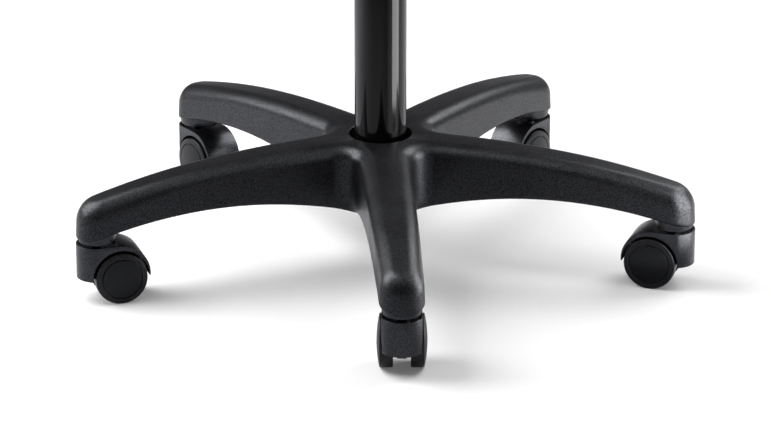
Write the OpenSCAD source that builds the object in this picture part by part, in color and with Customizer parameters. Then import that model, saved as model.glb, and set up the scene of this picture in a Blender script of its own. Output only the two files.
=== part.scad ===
// Swivel stool base: a five-arm moulded star on hooded twin-wheel castors, with a gas-lift column.
// Millimetres, +Z up. The origin is on the floor under the column's axis. The front arm points along -Y.

/* [Castor wheels] */
// Radius of each wheel over its tread
wheel_r = 25; // [20:0.5:30]
// Width of the castor over both treads
castor_w = 41.1; // [36:0.1:48]
// Width of the open slot between the two wheels
wheel_gap = 16.3; // [14:0.1:20]
// Height of the domed outer face above the tread's edge
dome_h = 2.8; // [1:0.1:4]
// Radius of the hub disc, where the tyre's ring starts
disc_r = 19.4; // [14:0.1:22]
// Thickness of the hub disc's outer face
disc_t = 3; // [2:0.1:5]
// Wall of the wheel's inner rim under the tyre
rim_t = 2.6; // [1.5:0.1:4]
// Distance from the rim's inner edge in from the tyre's side
rim_inset = 0.5; // [0.2:0.1:1.5]
// Outer radius of the wheel's hub tube
wheel_hub_r = 6.4; // [5:0.1:9]
// Depth and width of the chamfers that form the ring groove
groove = 0.5; // [0.2:0.1:1]
// Rounding of the tyre's tread edges
tread_edge = 1.2; // [0.5:0.1:2]
// Radius of the steel axle
axle_r = 3; // [2:0.1:4]
// Thickness of the disc's face left outside the axle's end
axle_cover = 1.6; // [1:0.1:3]

/* [Castor body] */
// Distance from the stem's axis to the wheels' axle
trail = 18.8; // [14:0.1:24]
// Angle by which each castor trails off the line to the hub
castor_swing = -4.3; // [-20:0.1:20]
// Width of the body across its flat sides
body_w = 37.2; // [32:0.1:42]
// Radius of the post's curved front
post_r = 20; // [19:0.1:24]
// Distance from the axle down to the post's lower edge
post_drop = 1.5; // [0:0.1:6]
// Clearance between the wheels and the arch above them
arch_gap = 2.5; // [1:0.1:4]
// Thickness of the hood above the wheels
crest_t = 4.7; // [3:0.1:8]
// Radius of the hood's outer curve
hood_r = 29.4; // [26:0.1:32]
// Thickness of the hood at its tip
tip_t = 1; // [0.6:0.1:2]
// Depth of the round recess in the body's top
recess_depth = 3; // [1:0.1:6]
// Thickness of the rim left round that recess
recess_rim = 1; // [0.6:0.1:2]
// Thickness of the middle web between the wheels
web_t = 8; // [5:0.1:12]
// Angle above the axle at which that web ends under the hood's tip
web_end = 30; // [15:1:60]
// Radius of the boss that holds the axle
axle_boss_r = 7; // [5:0.1:9]
// Radius of the boss round the stem
stem_boss_r = 7.7; // [6.8:0.1:8]
// Distance from the axle up to the lower end of the stem's boss
stem_boss_rise = 2.5; // [0:0.1:6]

/* [Castor stem] */
// Radius of the steel stem
stem_r = 5.4; // [4:0.1:6]
// Length of the stem above its flange
stem_l = 22; // [16:0.5:26]
// Radius of the stem's flange
stem_flange_r = 8.2; // [7:0.1:10]
// Thickness of the stem's flange
stem_flange_t = 1.6; // [1:0.1:2.5]
// Radius of the grip ring in the stem's groove
grip_r = 5.5; // [4.5:0.05:6.5]
// Height of the grip ring
grip_h = 3; // [2:0.1:5]
// Depth of the grooves for the grip ring and the clip
stem_groove = 0.9; // [0.5:0.1:1.2]
// Radius of the clip under the body's boss
stem_clip_r = 7; // [6.4:0.1:7.8]
// Thickness of that clip
stem_clip_t = 1; // [0.6:0.1:1.5]
// Bevel round the stem's top
stem_nose = 1; // [0.5:0.1:1.5]

/* [Socket collars] */
// Radius of the collar's lower stage
collar_r = 17.3; // [14:0.1:18]
// Radius of the collar's upper stage, let into the arm's end
collar_top_r = 18.2; // [15:0.1:19]
// Height of the lower stage
collar_step = 3; // [1:0.1:5]
// Depth to which the upper stage is let into the arm, above the collar's lower face
collar_seat = 15; // [13.5:0.1:20]
// Wall of the collar's sleeve round the stem
sleeve_t = 3; // [2:0.1:5]
// Gap between the collar's lower face and the castor body's top
castor_gap = 2; // [1.5:0.1:4]

/* [Star arms] */
// Radius of the circle on which the stems stand
stem_circle_r = 288.9; // [260:0.1:320]
// Height of the hub's top above the collars' lower faces
hub_rise = 69.3; // [60:0.1:80]
// Height of an arm's top over its stem, above the collars' lower faces
arm_end_rise = 42.4; // [38:0.1:46]
// Share of the arm's drop that grows with the cube of the distance
drop_cubed = 0.46; // [0:0.01:1]
// Radius inside which the hub's top is flat
hub_flat_r = 30; // [20:0.5:40]
// Height of the arch's crown under an arm, above the collars' lower faces
arch_rise = 23.1; // [18:0.1:26]
// Distance of the arch's crown from the column's axis
arch_crown_r = 175; // [150:0.5:200]
// Height of the arch at the stem, above the collars' lower faces
arch_end_rise = 8.4; // [6:0.1:12]
// Height of the arch where it meets the hub, above the collars' lower faces
arch_root_rise = 3.6; // [2:0.1:12]
// Half width of an arm at its shoulder, as if it ran to the axis
root_half = 25.3; // [22:0.1:28]
// Half width of an arm at its shoulder, over the stem
end_half = 20.6; // [19.5:0.1:23]
// Distance from the stem in to the centre of the arm's round end
end_inset = 1.6; // [0:0.1:4]
// Draft of the arms' side walls
draft = 2; // [0:0.1:4]
// Width of the rounding along an arm's top edges
edge_w = 14.6; // [6:0.1:16]
// Drop of that rounding
edge_h = 12.9; // [6:0.1:18]
// Width of the rounding at the arm's end
end_edge_w = 15.4; // [8:0.1:18]
// Drop of the rounding at the arm's end
end_edge_h = 18.4; // [8:0.1:22]
// Length over which the rounding grows towards the end
edge_blend_l = 90; // [40:1:140]
// Radius of the upright fillets between the arms
fillet_r = 20; // [8:0.5:24]

/* [Star underside] */
// Thickness of the top skin
skin_t = 4; // [3:0.1:6]
// Thickness of the side walls
wall_t = 3.5; // [2.5:0.1:5]
// Thickness of the ribs
rib_t = 2.6; // [1.5:0.1:4]
// Angle of the crossed ribs from the arm's line
rib_angle = 52; // [35:1:70]
// Distance between one crossing and the next
rib_pitch = 44; // [36:1:60]
// How far the two ribs of a crossing are drawn apart along the arm, one inwards and one outwards
rib_stagger = 0.3; // [0.2:0.1:3]
// Distance from the stem in to the end of an arm's hollow
end_block = 25; // [22:0.5:40]
// Distance from the column's axis out to the start of an arm's hollow
hollow_start = 53; // [50:0.5:60]
// Width of the slope between a hollow's side wall and its roof
hollow_shoulder_w = 8; // [5:0.1:12]
// How much closer to the roof that slope starts than the rounding outside
hollow_lift = 1; // [0:0.1:3]

/* [Hub] */
// Radius of the round opening in the hub's top
mouth_r = 30.4; // [27:0.1:33]
// Depth of that opening
mouth_depth = 16.5; // [10:0.5:24]
// Height of the hub's lower face above the collars' lower faces
hub_foot_rise = 1.6; // [0:0.1:6]
// Radius of the hub's lower lip
hub_foot_r = 47.5; // [46:0.1:49]
// Radius of the pocket inside that lip
hub_pocket_r = 43.5; // [40:0.1:44.5]
// Wall of the tube that holds the column
socket_t = 6.4; // [5:0.1:9]
// Number of ribs across the hub's pocket
hub_ribs = 10; // [5:5:20]
// Depth of solid hub left under the opening
mouth_floor_t = 6; // [4:0.5:10]
// Wall of the steel ring round the socket's lower end
hub_ring_t = 2.5; // [1.5:0.1:4]
// Height of that ring
hub_ring_h = 9; // [5:0.5:14]

/* [Column tube] */
// Radius of the column's outer tube
tube_r = 25; // [23:0.1:26]
// Wall of the tube
tube_t = 1.5; // [1:0.1:2.5]
// Half angle of the tapered lower end
tube_taper = 1.43; // [0.8:0.01:1.8]
// Length of tube that stands out under the hub
tube_foot = 14; // [8:0.5:18]
// Thickness of the tube's turned-in lower edge
lip_t = 2; // [1:0.1:3]
// Width of that turned-in edge
lip_w = 3.5; // [2:0.1:5]
// Thickness of the foot plate
plate_t = 3; // [2:0.1:4]
// Travel of the lift
lift_stroke = 200; // [100:1:240]
// Length of cylinder left inside the tube at full height
bush_overlap = 51; // [40:1:80]
// Length of the guide bush below its flange
bush_l = 70; // [50:1:90]
// Thickness of the bush's flange
bush_flange_t = 2; // [1:0.1:4]
// Wall of the bush's sleeve
bush_t = 2.4; // [1.5:0.1:4]
// Height of the bush's upper and lower rings
bush_ring_h = 8; // [4:0.5:14]
// Number of ribs along the bush
bush_ribs = 8; // [4:1:12]
// Thickness of those ribs
bush_rib_t = 2; // [1:0.1:4]
// Distance from those ribs out to the tube's wall
bush_rib_inset = 1; // [0.5:0.1:3]
// Distance from the flange's rim in from the tube's outside
bush_rim_inset = 0.4; // [0:0.1:1]

/* [Gas cylinder] */
// Radius of the pressure cylinder
cylinder_r = 14; // [12:0.1:16]
// Wall of the pressure cylinder
cylinder_t = 1.6; // [1:0.1:2.5]
// Width of the chamfer round the cylinder's lower edge
cylinder_chamfer = 0.8; // [0.4:0.1:1.2]
// Length of straight cylinder that shows above the bush when lowered
cylinder_show = 15; // [8:0.5:40]
// Length of the cone that takes the seat plate
cone_l = 45; // [30:0.5:60]
// Half angle of that cone
cone_angle = 1.43; // [0.8:0.01:2]
// Thickness of the cylinder's closed top
cylinder_cap = 3; // [2:0.1:5]
// Outer radius of the inner cylinder
inner_r = 11; // [9.5:0.1:12]
// Wall of the inner cylinder
inner_t = 0.8; // [0.6:0.1:1.2]
// Radius of the piston rod
rod_r = 5; // [4:0.1:6]
// Height of the piston
piston_h = 12; // [8:0.5:18]
// Length of rod riveted over above the piston
rod_nose = 2; // [1:0.1:4]
// Height of the seal round the piston
piston_seal_h = 3; // [2:0.1:5]
// Depth of that seal's groove
piston_seal_d = 1.6; // [1:0.1:3]
// Height of the rod guide at the cylinder's lower end
guide_h = 12; // [8:0.5:16]
// Height of the rod seal above the guide
rod_seal_h = 5; // [3:0.5:8]
// Height of the valve body under the cylinder's top
valve_h = 28; // [20:0.5:34]
// Radius of the release pin
pin_r = 3.4; // [2.5:0.1:4.5]
// Length of the release pin above the cone
pin_show = 6; // [4.5:0.1:10]
// Travel of the release pin
pin_travel = 3.5; // [2:0.1:4]
// Length of the release pin inside the valve body
pin_depth = 18; // [10:0.5:20]
// Radius of the head at the pin's lower end
pin_head_r = 4.6; // [4:0.1:6]
// Height of that head
pin_head_h = 3; // [2:0.1:5]

/* [Swivel bearing] */
// Outer radius of both races
race_r = 17; // [15:0.1:18]
// Thickness of each race
race_t = 3; // [2:0.1:5]
// Radius of the circle that the balls run on
ball_circle_r = 12; // [11:0.1:13]
// Radius of each ball
ball_r = 2.5; // [2:0.1:3]
// Number of balls
balls = 10; // [8:1:14]
// Depth of the groove in each race
race_groove = 1; // [0.5:0.1:1.5]
// Thickness of the ball cage
cage_t = 1.2; // [0.8:0.1:2]
// Distance from the cage's rim in from the races' rims
cage_inset = 1.5; // [0.5:0.1:2]
// Radial clearance between the cage's bore and the rod
cage_bore_gap = 2; // [1:0.1:3]
// Radius of the rod's shoulder
shoulder_r = 8; // [7:0.1:10]
// Thickness of the rod's shoulder
shoulder_t = 2.5; // [1.5:0.1:4]
// Outer radius of the rubber bumper
bumper_r = 13; // [9:0.1:16]
// Height of the rubber bumper
bumper_h = 14; // [8:0.5:20]
// Outer radius of the washer and the clip under the foot plate
clip_r = 9; // [7:0.1:11]
// Thickness of the washer
washer_t = 1.5; // [1:0.1:2.5]
// Thickness of the clip
clip_t = 1.2; // [0.8:0.1:2]
// How much smaller the clip is than the washer above it
clip_inset = 1; // [0.5:0.1:2]
// Depth of the clip's groove in the rod
clip_groove = 1.2; // [0.6:0.1:2]

/* [Hidden] */
$fn = 96;
// Clearance of a pin or shaft that turns or slides in its bore
running = 0.05;
// Gap between faces that move past each other
gap = 0.3;
// How far a cutting shape runs past the face it cuts
past = 1;
// Length of stem or rod left beyond a groove
groove_end = 1.5;
// Length of the collar's sleeve above the stem's top
stem_spare = 4;
// Gap left between the piston and the rod's seal at full height
piston_spare = 3;
arms = 5;
arm_step = 360 / arms;
// Pieces that the round edges of the arms and domes are made of
edge_steps = 4;
fillet_steps = 4;
flank_steps = 12;
cap_steps = 8;
dome_steps = 8;

// Heights of the castors
axle_z = wheel_r;
arch_r = wheel_r + arch_gap;
body_top_z = axle_z + arch_r + crest_t;
post_foot_z = axle_z - post_drop;
recess_z = body_top_z - recess_depth;
recess_r = body_w / 2 - recess_rim;
collar_z = body_top_z + castor_gap;
stem_top_z = collar_z + stem_l;
stem_flange_z = collar_z - stem_flange_t;
stem_boss_top_z = stem_flange_z - gap;
stem_boss_foot_z = axle_z + stem_boss_rise;
stem_clip_z = stem_boss_foot_z - gap - stem_clip_t;
stem_foot_z = stem_clip_z - groove_end;
grip_z = stem_top_z - 2 * groove_end - grip_h;

// Heights of the star
hub_top_z = collar_z + hub_rise;
arm_end_z = collar_z + arm_end_rise;
arch_crown_z = collar_z + arch_rise;
arch_end_z = collar_z + arch_end_rise;
arch_root_z = collar_z + arch_root_rise;
hub_foot_z = collar_z + hub_foot_rise;
mouth_floor_z = hub_top_z - mouth_depth;
collar_seat_z = collar_z + collar_seat;
sleeve_top_z = stem_top_z + stem_spare;
sleeve_r = grip_r + sleeve_t;
cap_r = stem_circle_r - end_inset;

// Widths of the wheels
wheel_in = wheel_gap / 2;
wheel_out = castor_w / 2;
dome_arc_r = (wheel_r * wheel_r + dome_h * dome_h) / (2 * dome_h);

// Heights of the column
tube_foot_z = hub_foot_z - tube_foot;
plate_z = tube_foot_z + lip_t;
race_z = plate_z + plate_t;
ball_z = race_z + race_t + ball_r + running - race_groove;
upper_race_z = 2 * ball_z - race_z - race_t;
shoulder_z = upper_race_z + race_t;
bumper_z = shoulder_z + shoulder_t;
cylinder_z = bumper_z + bumper_h + gap;
tube_top_z = cylinder_z + lift_stroke + bush_overlap;
bush_top_z = tube_top_z + bush_flange_t;
cone_z = bush_top_z + cylinder_show;
cone_top_z = cone_z + cone_l;
guide_z = cylinder_z + cylinder_t;
rod_seal_z = guide_z + guide_h;
piston_z = rod_seal_z + rod_seal_h + lift_stroke + piston_spare;
valve_z = cone_top_z - cylinder_cap - valve_h;
rod_clip_z = plate_z - gap - washer_t - gap - clip_t;
rod_foot_z = rod_clip_z - groove_end;
tube_in_r = tube_r - tube_t;
cylinder_in_r = cylinder_r - cylinder_t;
inner_in_r = inner_r - inner_t;
socket_r = tube_r + socket_t;

// Arms and castors are counted anticlockwise from the front one, seen from above
FRONT = 0;
RIGHT = 1;
REAR_RIGHT = 2;
REAR_LEFT = 3;
LEFT = 4;

// Places its children on arm number k, with X along the arm
module at_arm(k) {
    rotate([0, 0, arm_step * k - 90]) children();
}

// Places its children at the stem of castor number k, with X towards the wheels
module at_castor(k) {
    at_arm(k) translate([stem_circle_r, 0, 0]) rotate([0, 0, 180 + castor_swing]) children();
}

// Places its children on the axle, with Z out through the left wheel, or the right one
module at_wheel(side) {
    translate([trail, 0, axle_z]) rotate([side == "left" ? -90 : 90, 0, 0]) children();
}

// A ring or disc: outer radius, inner radius, lower height and upper height
module ring(r_out, r_in, z0, z1) {
    translate([0, 0, z0]) difference() {
        cylinder(r = r_out, h = z1 - z0);
        if (r_in > 0) translate([0, 0, -past]) cylinder(r = r_in, h = z1 - z0 + 2 * past);
    }
}

// How far along the arm a radius lies, 0 on the hub's flat, 1 over the stem and more at the arm's tip
function along(r) = max(0, (r - hub_flat_r) / (stem_circle_r - hub_flat_r));
// Height of an arm's top at a radius
function top_z(r) =
    let (q = along(r))
    hub_top_z - (hub_top_z - arm_end_z) * ((1 - drop_cubed) * q ^ 2 + drop_cubed * q ^ 3);
// Height of an arm's lower edge at a radius: one half arch runs from the crown to the hub, one to the stem
function foot_z(r) =
    r < arch_crown_r
    ? arch_crown_z - (arch_crown_z - arch_root_z) * ((arch_crown_r - r) / (arch_crown_r - hub_foot_r)) ^ 2
    : arch_crown_z - (arch_crown_z - arch_end_z) * ((r - arch_crown_r) / (stem_circle_r - arch_crown_r)) ^ 2;
// Half width of an arm at its shoulder
function half_w(r) = end_half + (root_half - end_half) * (stem_circle_r - r) / stem_circle_r;
// How far the rounding has grown towards the arm's end, eased at both ends
function end_share(r) =
    let (t = max(0, min(1, (r - stem_circle_r + edge_blend_l) / edge_blend_l)))
    t * t * (3 - 2 * t);
function edge_w_at(r) = edge_w + (end_edge_w - edge_w) * end_share(r);
function edge_h_at(r) = edge_h + (end_edge_h - edge_h) * end_share(r);

// Where the fillet between two arms is centred, and where it meets the arm's flank
fillet_centre = (half_w(hub_foot_r) + fillet_r) / sin(arm_step / 2);
flank_start = fillet_centre * cos(arm_step / 2);
function flank_r(i) = flank_start + (cap_r - flank_start) * i / flank_steps;

// The shoulder line round one arm, from the gap on its right to the gap on its left:
// each entry is [x, y, inward x, inward y, spine radius]
fillet_side = [for (i = [0:fillet_steps])
    let (a = arm_step / 2 + (90 - arm_step / 2) * i / fillet_steps)
    [fillet_centre * cos(arm_step / 2) - fillet_r * sin(90 - a),
     -fillet_centre * sin(arm_step / 2) + fillet_r * cos(90 - a),
     -sin(90 - a), cos(90 - a), 0]];
flank_side = [for (i = [1:flank_steps - 1]) [flank_r(i), -half_w(flank_r(i)), 0, 1, flank_r(i)]];
cap_side = [for (i = [0:cap_steps])
    let (a = -90 + 180 * i / cap_steps)
    [cap_r + end_half * cos(a), end_half * sin(a), -cos(a), -sin(a), cap_r]];
function mirrored(side) = [for (i = [len(side) - 1:-1:0]) let (s = side[i]) [s[0], -s[1], s[2], -s[3], s[4]]];
// The last fillet point is left out, because it is the next arm's first one
fillet_back = [for (i = [0:fillet_steps - 1]) mirrored(fillet_side)[i]];
shoulder = concat(fillet_side, flank_side, cap_side, mirrored(flank_side), fillet_back);

// The points of one rib of the skin, from the foot up the wall and over the rounding
edge_count = edge_steps + 2;
function skin_rib(s) =
    let (r = norm([s[0], s[1]]), w = edge_w_at(r), h = edge_h_at(r),
         wall_z = top_z(r) - h, lean = (wall_z - foot_z(r)) * tan(draft))
    concat(
        [[s[0] - s[2] * lean, s[1] - s[3] * lean, foot_z(r)]],
        [for (j = [0:edge_steps])
            let (a = 90 * j / edge_steps, x = s[0] + s[2] * w * (1 - cos(a)), y = s[1] + s[3] * w * (1 - cos(a)))
            [x, y, top_z(norm([x, y])) - h * (1 - sin(a))]]);

// The whole star's outer form as one closed skin
module star_form() {
    per_arm = len(shoulder);
    ribs = arms * per_arm;
    rim = [for (k = [0:arms - 1]) for (s = shoulder) for (p = skin_rib(s))
        let (a = arm_step * k - 90)
        [p[0] * cos(a) - p[1] * sin(a), p[0] * sin(a) + p[1] * cos(a), p[2]]];
    spine_top = [for (k = [0:arms - 1]) for (i = [1:flank_steps])
        let (a = arm_step * k - 90, r = flank_r(i)) [r * cos(a), r * sin(a), top_z(r)]];
    spine_foot = [for (p = spine_top) [p[0], p[1], foot_z(norm([p[0], p[1]]))]];
    base = ribs * edge_count;
    spines = arms * flank_steps;
    centre = base + 2 * spines;
    points = concat(rim, spine_top, spine_foot, [[0, 0, hub_top_z], [0, 0, foot_z(flank_start)]]);
    // Number of the spine point that a rib of the skin ends at, above or below
    function spine(i, low) =
        let (k = floor(i / per_arm), s = shoulder[i % per_arm][4])
        s == 0 ? centre + low
        : base + low * spines + k * flank_steps + round((s - flank_start) / (cap_r - flank_start) * flank_steps) - 1;
    function rib(i, j) = (i % ribs) * edge_count + j;
    skin_faces = [for (i = [0:ribs - 1]) for (j = [0:edge_count - 2])
        [rib(i, j), rib(i, j + 1), rib(i + 1, j + 1), rib(i + 1, j)]];
    top_faces = [for (i = [0:ribs - 1])
        let (a = spine(i, 0), b = spine((i + 1) % ribs, 0))
        a == b ? [rib(i, edge_count - 1), a, rib(i + 1, edge_count - 1)]
        : [rib(i, edge_count - 1), a, b, rib(i + 1, edge_count - 1)]];
    foot_faces = [for (i = [0:ribs - 1])
        let (a = spine(i, 1), b = spine((i + 1) % ribs, 1))
        a == b ? [rib(i + 1, 0), a, rib(i, 0)] : [rib(i + 1, 0), b, a, rib(i, 0)]];
    polyhedron(points, concat(skin_faces, top_faces, foot_faces), convexity = 10);
}

// The hollow under one arm, open below, as a loft of flat-shouldered sections
module arm_hollow() {
    steps = 8;
    start = hollow_start;
    end = stem_circle_r - end_block;
    sections = [for (i = [0:steps])
        let (r = start + (end - start) * i / steps, w = half_w(r) - wall_t,
             top = top_z(r) - skin_t, side = top - edge_h_at(r) + hollow_lift, low = foot_z(r) - 4 * past,
             lean = (side - low) * tan(draft))
        [[r, -w - lean, low], [r, -w, side], [r, -w + hollow_shoulder_w, top],
         [r, w - hollow_shoulder_w, top], [r, w, side], [r, w + lean, low]]];
    n = 6;
    points = [for (s = sections) for (p = s) p];
    walls = [for (i = [0:steps - 1]) for (j = [0:n - 1])
        [i * n + j, i * n + (j + 1) % n, (i + 1) * n + (j + 1) % n, (i + 1) * n + j]];
    polyhedron(points, concat(walls, [[for (j = [n - 1:-1:0]) j]], [[for (j = [0:n - 1]) steps * n + j]]),
        convexity = 4);
}

// The crossed ribs that stay under one arm
module arm_ribs() {
    first = hollow_start + rib_pitch / 2;
    count = floor((stem_circle_r - end_block - hollow_start) / rib_pitch);
    reach = 2 * root_half / sin(rib_angle);
    for (i = [0:count - 1], turn = [-1, 1])
        translate([first + i * rib_pitch + turn * rib_stagger, 0, 0]) rotate([0, 0, turn * rib_angle])
            translate([-reach, -rib_t / 2, 0]) cube([2 * reach, rib_t, hub_top_z]);
}

// Radius of the column's tapered end at a height, which its socket shares
function taper_r(z) = tube_r - max(0, mouth_floor_z - z) * tan(tube_taper);

module star_base() {
    color("#2b2b2e") difference() {
        union() {
            star_form();
            ring(hub_foot_r, 0, hub_foot_z, mouth_floor_z);
        }
        for (k = [0:arms - 1]) at_arm(k) {
            difference() {
                arm_hollow();
                arm_ribs();
            }
            // Turned off the arm's middle line, where facets of the skin meet
            translate([stem_circle_r, 0, 0]) rotate([0, 0, arm_step / 2]) {
                ring(collar_top_r, 0, collar_z, collar_seat_z);
                ring(sleeve_r, 0, collar_z, sleeve_top_z);
            }
        }
        difference() {
            ring(hub_pocket_r, socket_r, hub_foot_z - past, mouth_floor_z - mouth_floor_t);
            for (i = [0:hub_ribs - 1]) rotate([0, 0, (i + 0.5) * 360 / hub_ribs])
                translate([socket_r - past, -rib_t / 2, hub_foot_z + hub_ring_h])
                    cube([hub_pocket_r - socket_r + 2 * past, rib_t, mouth_floor_z]);
        }
        ring(mouth_r, 0, mouth_floor_z, hub_top_z + past);
        rotate_extrude() polygon([
            [0, hub_foot_z - past], [taper_r(hub_foot_z - past), hub_foot_z - past],
            [tube_r, mouth_floor_z], [0, mouth_floor_z]]);
    }
}

module hub_ring() {
    color("#8d9094") ring(socket_r + hub_ring_t, socket_r, hub_foot_z, hub_foot_z + hub_ring_h);
}

module socket_collars() {
    color("#333337") for (k = [0:arms - 1]) at_arm(k) translate([stem_circle_r, 0, 0]) difference() {
        union() {
            ring(collar_r, 0, collar_z, collar_z + collar_step);
            ring(collar_top_r, 0, collar_z + collar_step, collar_seat_z);
            ring(sleeve_r, 0, collar_seat_z, sleeve_top_z);
        }
        ring(grip_r, 0, collar_z - past, sleeve_top_z + past);
    }
}

module castor_stems() {
    color("#9a9da1") for (k = [0:arms - 1]) at_arm(k) translate([stem_circle_r, 0, 0]) difference() {
        union() {
            ring(stem_r, 0, stem_foot_z, stem_top_z - stem_nose);
            translate([0, 0, stem_top_z - stem_nose]) cylinder(r1 = stem_r, r2 = stem_r - stem_nose, h = stem_nose);
            ring(stem_flange_r, 0, stem_flange_z, collar_z);
        }
        ring(stem_r + past, stem_r - stem_groove, grip_z, grip_z + grip_h);
        ring(stem_r + past, stem_r - stem_groove, stem_clip_z, stem_clip_z + stem_clip_t);
    }
}

module stem_grip_rings() {
    color("#b0b3b6") for (k = [0:arms - 1]) at_arm(k) translate([stem_circle_r, 0, 0]) difference() {
        ring(grip_r, stem_r - stem_groove, grip_z, grip_z + grip_h);
        translate([0, -grip_h / 4, grip_z - past]) cube([grip_r + past, grip_h / 2, grip_h + 2 * past]);
    }
}

module stem_clips() {
    color("#b0b3b6") for (k = [0:arms - 1]) at_arm(k) translate([stem_circle_r, 0, 0]) difference() {
        ring(stem_clip_r, stem_r - stem_groove, stem_clip_z, stem_clip_z + stem_clip_t);
        translate([0, -stem_clip_r / 4, stem_clip_z - past])
            cube([stem_clip_r + past, stem_clip_r / 2, stem_clip_t + 2 * past]);
    }
}

module column_tube() {
    foot_r = taper_r(tube_foot_z);
    color("#151517") rotate_extrude() polygon([
        [foot_r - lip_w, tube_foot_z], [foot_r, tube_foot_z], [tube_r, mouth_floor_z],
        [tube_r, tube_top_z], [tube_in_r, tube_top_z], [tube_in_r, mouth_floor_z],
        [taper_r(plate_z) - tube_t, plate_z], [foot_r - lip_w, plate_z]]);
}

module foot_plate() {
    color("#85888c") ring(taper_r(plate_z) - tube_t - running, rod_r + gap, plate_z, plate_z + plate_t);
}

module guide_bush() {
    bore_r = cylinder_r + running;
    sleeve_out = bore_r + bush_t;
    foot_z = tube_top_z - bush_l;
    color("#202022") difference() {
        union() {
            ring(tube_r - bush_rim_inset, 0, tube_top_z, bush_top_z);
            ring(tube_in_r, 0, tube_top_z - bush_ring_h, tube_top_z);
            ring(tube_in_r, 0, foot_z, foot_z + bush_ring_h);
            ring(sleeve_out, 0, foot_z, tube_top_z);
            for (i = [0:bush_ribs - 1]) rotate([0, 0, i * 360 / bush_ribs])
                translate([bore_r + bush_t / 2, -bush_rib_t / 2, foot_z + bush_ring_h / 2])
                    cube([tube_in_r - bush_rib_inset - bore_r - bush_t / 2, bush_rib_t, bush_l - bush_ring_h]);
        }
        ring(bore_r, 0, foot_z - past, bush_top_z + past);
    }
}

// One race, its groove facing up at the given height
module race(bore_r) {
    difference() {
        ring(race_r, bore_r, 0, race_t);
        rotate_extrude() translate([ball_circle_r, race_t + ball_r + running - race_groove])
            circle(r = ball_r + running);
    }
}

module lower_race() {
    color("#a5a8ab") translate([0, 0, race_z]) race(rod_r + gap);
}

module upper_race() {
    color("#a5a8ab") translate([0, 0, shoulder_z]) mirror([0, 0, 1]) race(rod_r);
}

module bearing_balls() {
    color("#c4c7ca") for (i = [0:balls - 1]) rotate([0, 0, i * 360 / balls])
        translate([ball_circle_r, 0, ball_z]) sphere(r = ball_r);
}

module ball_cage() {
    color("#b39446") difference() {
        ring(race_r - cage_inset, rod_r + cage_bore_gap, ball_z - cage_t / 2, ball_z + cage_t / 2);
        for (i = [0:balls - 1]) rotate([0, 0, i * 360 / balls])
            translate([ball_circle_r, 0, ball_z - cage_t]) cylinder(r = ball_r + running, h = 2 * cage_t);
    }
}

module piston_rod() {
    color("#c9ccce") difference() {
        union() {
            ring(rod_r, 0, rod_foot_z, piston_z + piston_h + rod_nose);
            ring(shoulder_r, 0, shoulder_z, shoulder_z + shoulder_t);
        }
        ring(rod_r + past, rod_r - clip_groove, rod_clip_z, rod_clip_z + clip_t);
    }
}

module piston() {
    seal_z = piston_z + (piston_h - piston_seal_h) / 2;
    color("#a5a8ab") difference() {
        ring(inner_in_r - running, rod_r, piston_z, piston_z + piston_h);
        ring(inner_r, inner_in_r - piston_seal_d, seal_z, seal_z + piston_seal_h);
    }
}

module piston_seal() {
    seal_z = piston_z + (piston_h - piston_seal_h) / 2;
    color("#18181a") ring(inner_in_r - running / 2, inner_in_r - piston_seal_d, seal_z, seal_z + piston_seal_h);
}

module rubber_bumper() {
    waist = (bumper_r - rod_r) / 4;
    color("#1a1a1c") rotate_extrude() polygon([
        [rod_r, bumper_z], [bumper_r, bumper_z], [bumper_r, bumper_z + bumper_h / 4],
        [bumper_r - waist, bumper_z + bumper_h / 2], [bumper_r, bumper_z + bumper_h * 3 / 4],
        [bumper_r, bumper_z + bumper_h], [rod_r, bumper_z + bumper_h]]);
}

module rod_washer() {
    color("#a5a8ab") ring(clip_r, rod_r, plate_z - gap - washer_t, plate_z - gap);
}

module rod_clip() {
    color("#b0b3b6") difference() {
        ring(clip_r - clip_inset, rod_r - clip_groove, rod_clip_z, rod_clip_z + clip_t);
        translate([0, -rod_r * 0.6, rod_clip_z - past]) cube([clip_r, rod_r * 1.2, clip_t + 2 * past]);
    }
}

module pressure_cylinder() {
    cone_top_r = cylinder_r - cone_l * tan(cone_angle);
    lip_r = inner_in_r - 1;
    color("#19191b") rotate_extrude() polygon([
        [lip_r, cylinder_z], [cylinder_r - cylinder_chamfer, cylinder_z], [cylinder_r, cylinder_z + cylinder_chamfer],
        [cylinder_r, cone_z], [cone_top_r, cone_top_z], [pin_r + running, cone_top_z],
        [pin_r + running, cone_top_z - cylinder_cap], [cone_top_r - cylinder_t, cone_top_z - cylinder_cap],
        [cylinder_in_r, cone_z], [cylinder_in_r, guide_z], [lip_r, guide_z]]);
}

module inner_cylinder() {
    color("#a5a8ab") ring(inner_r, inner_in_r, rod_seal_z + rod_seal_h, valve_z);
}

module rod_guide() {
    color("#2a2a2d") ring(cylinder_in_r, rod_r + running, guide_z, guide_z + guide_h);
}

module rod_seal() {
    color("#18181a") ring(cylinder_in_r, rod_r + running / 2, rod_seal_z, rod_seal_z + rod_seal_h);
}

module valve_body() {
    bore_z = valve_z + valve_h - pin_depth - pin_travel;
    cone_top_r = cylinder_r - cone_l * tan(cone_angle);
    color("#c0a65e") difference() {
        ring(cone_top_r - cylinder_t, 0, valve_z, valve_z + valve_h);
        ring(pin_r + running, 0, bore_z, valve_z + valve_h + past);
        ring(pin_head_r + running, 0, bore_z - past, bore_z + pin_travel + pin_head_h);
    }
}

module release_pin() {
    top_z = cone_top_z + pin_show;
    foot_z = valve_z + valve_h - pin_depth;
    color("#8d9094") union() {
        ring(pin_r, 0, foot_z, top_z - 1);
        translate([0, 0, top_z - 1]) cylinder(r1 = pin_r, r2 = pin_r - 1, h = 1);
        ring(pin_head_r, 0, foot_z, foot_z + pin_head_h);
    }
}

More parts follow.
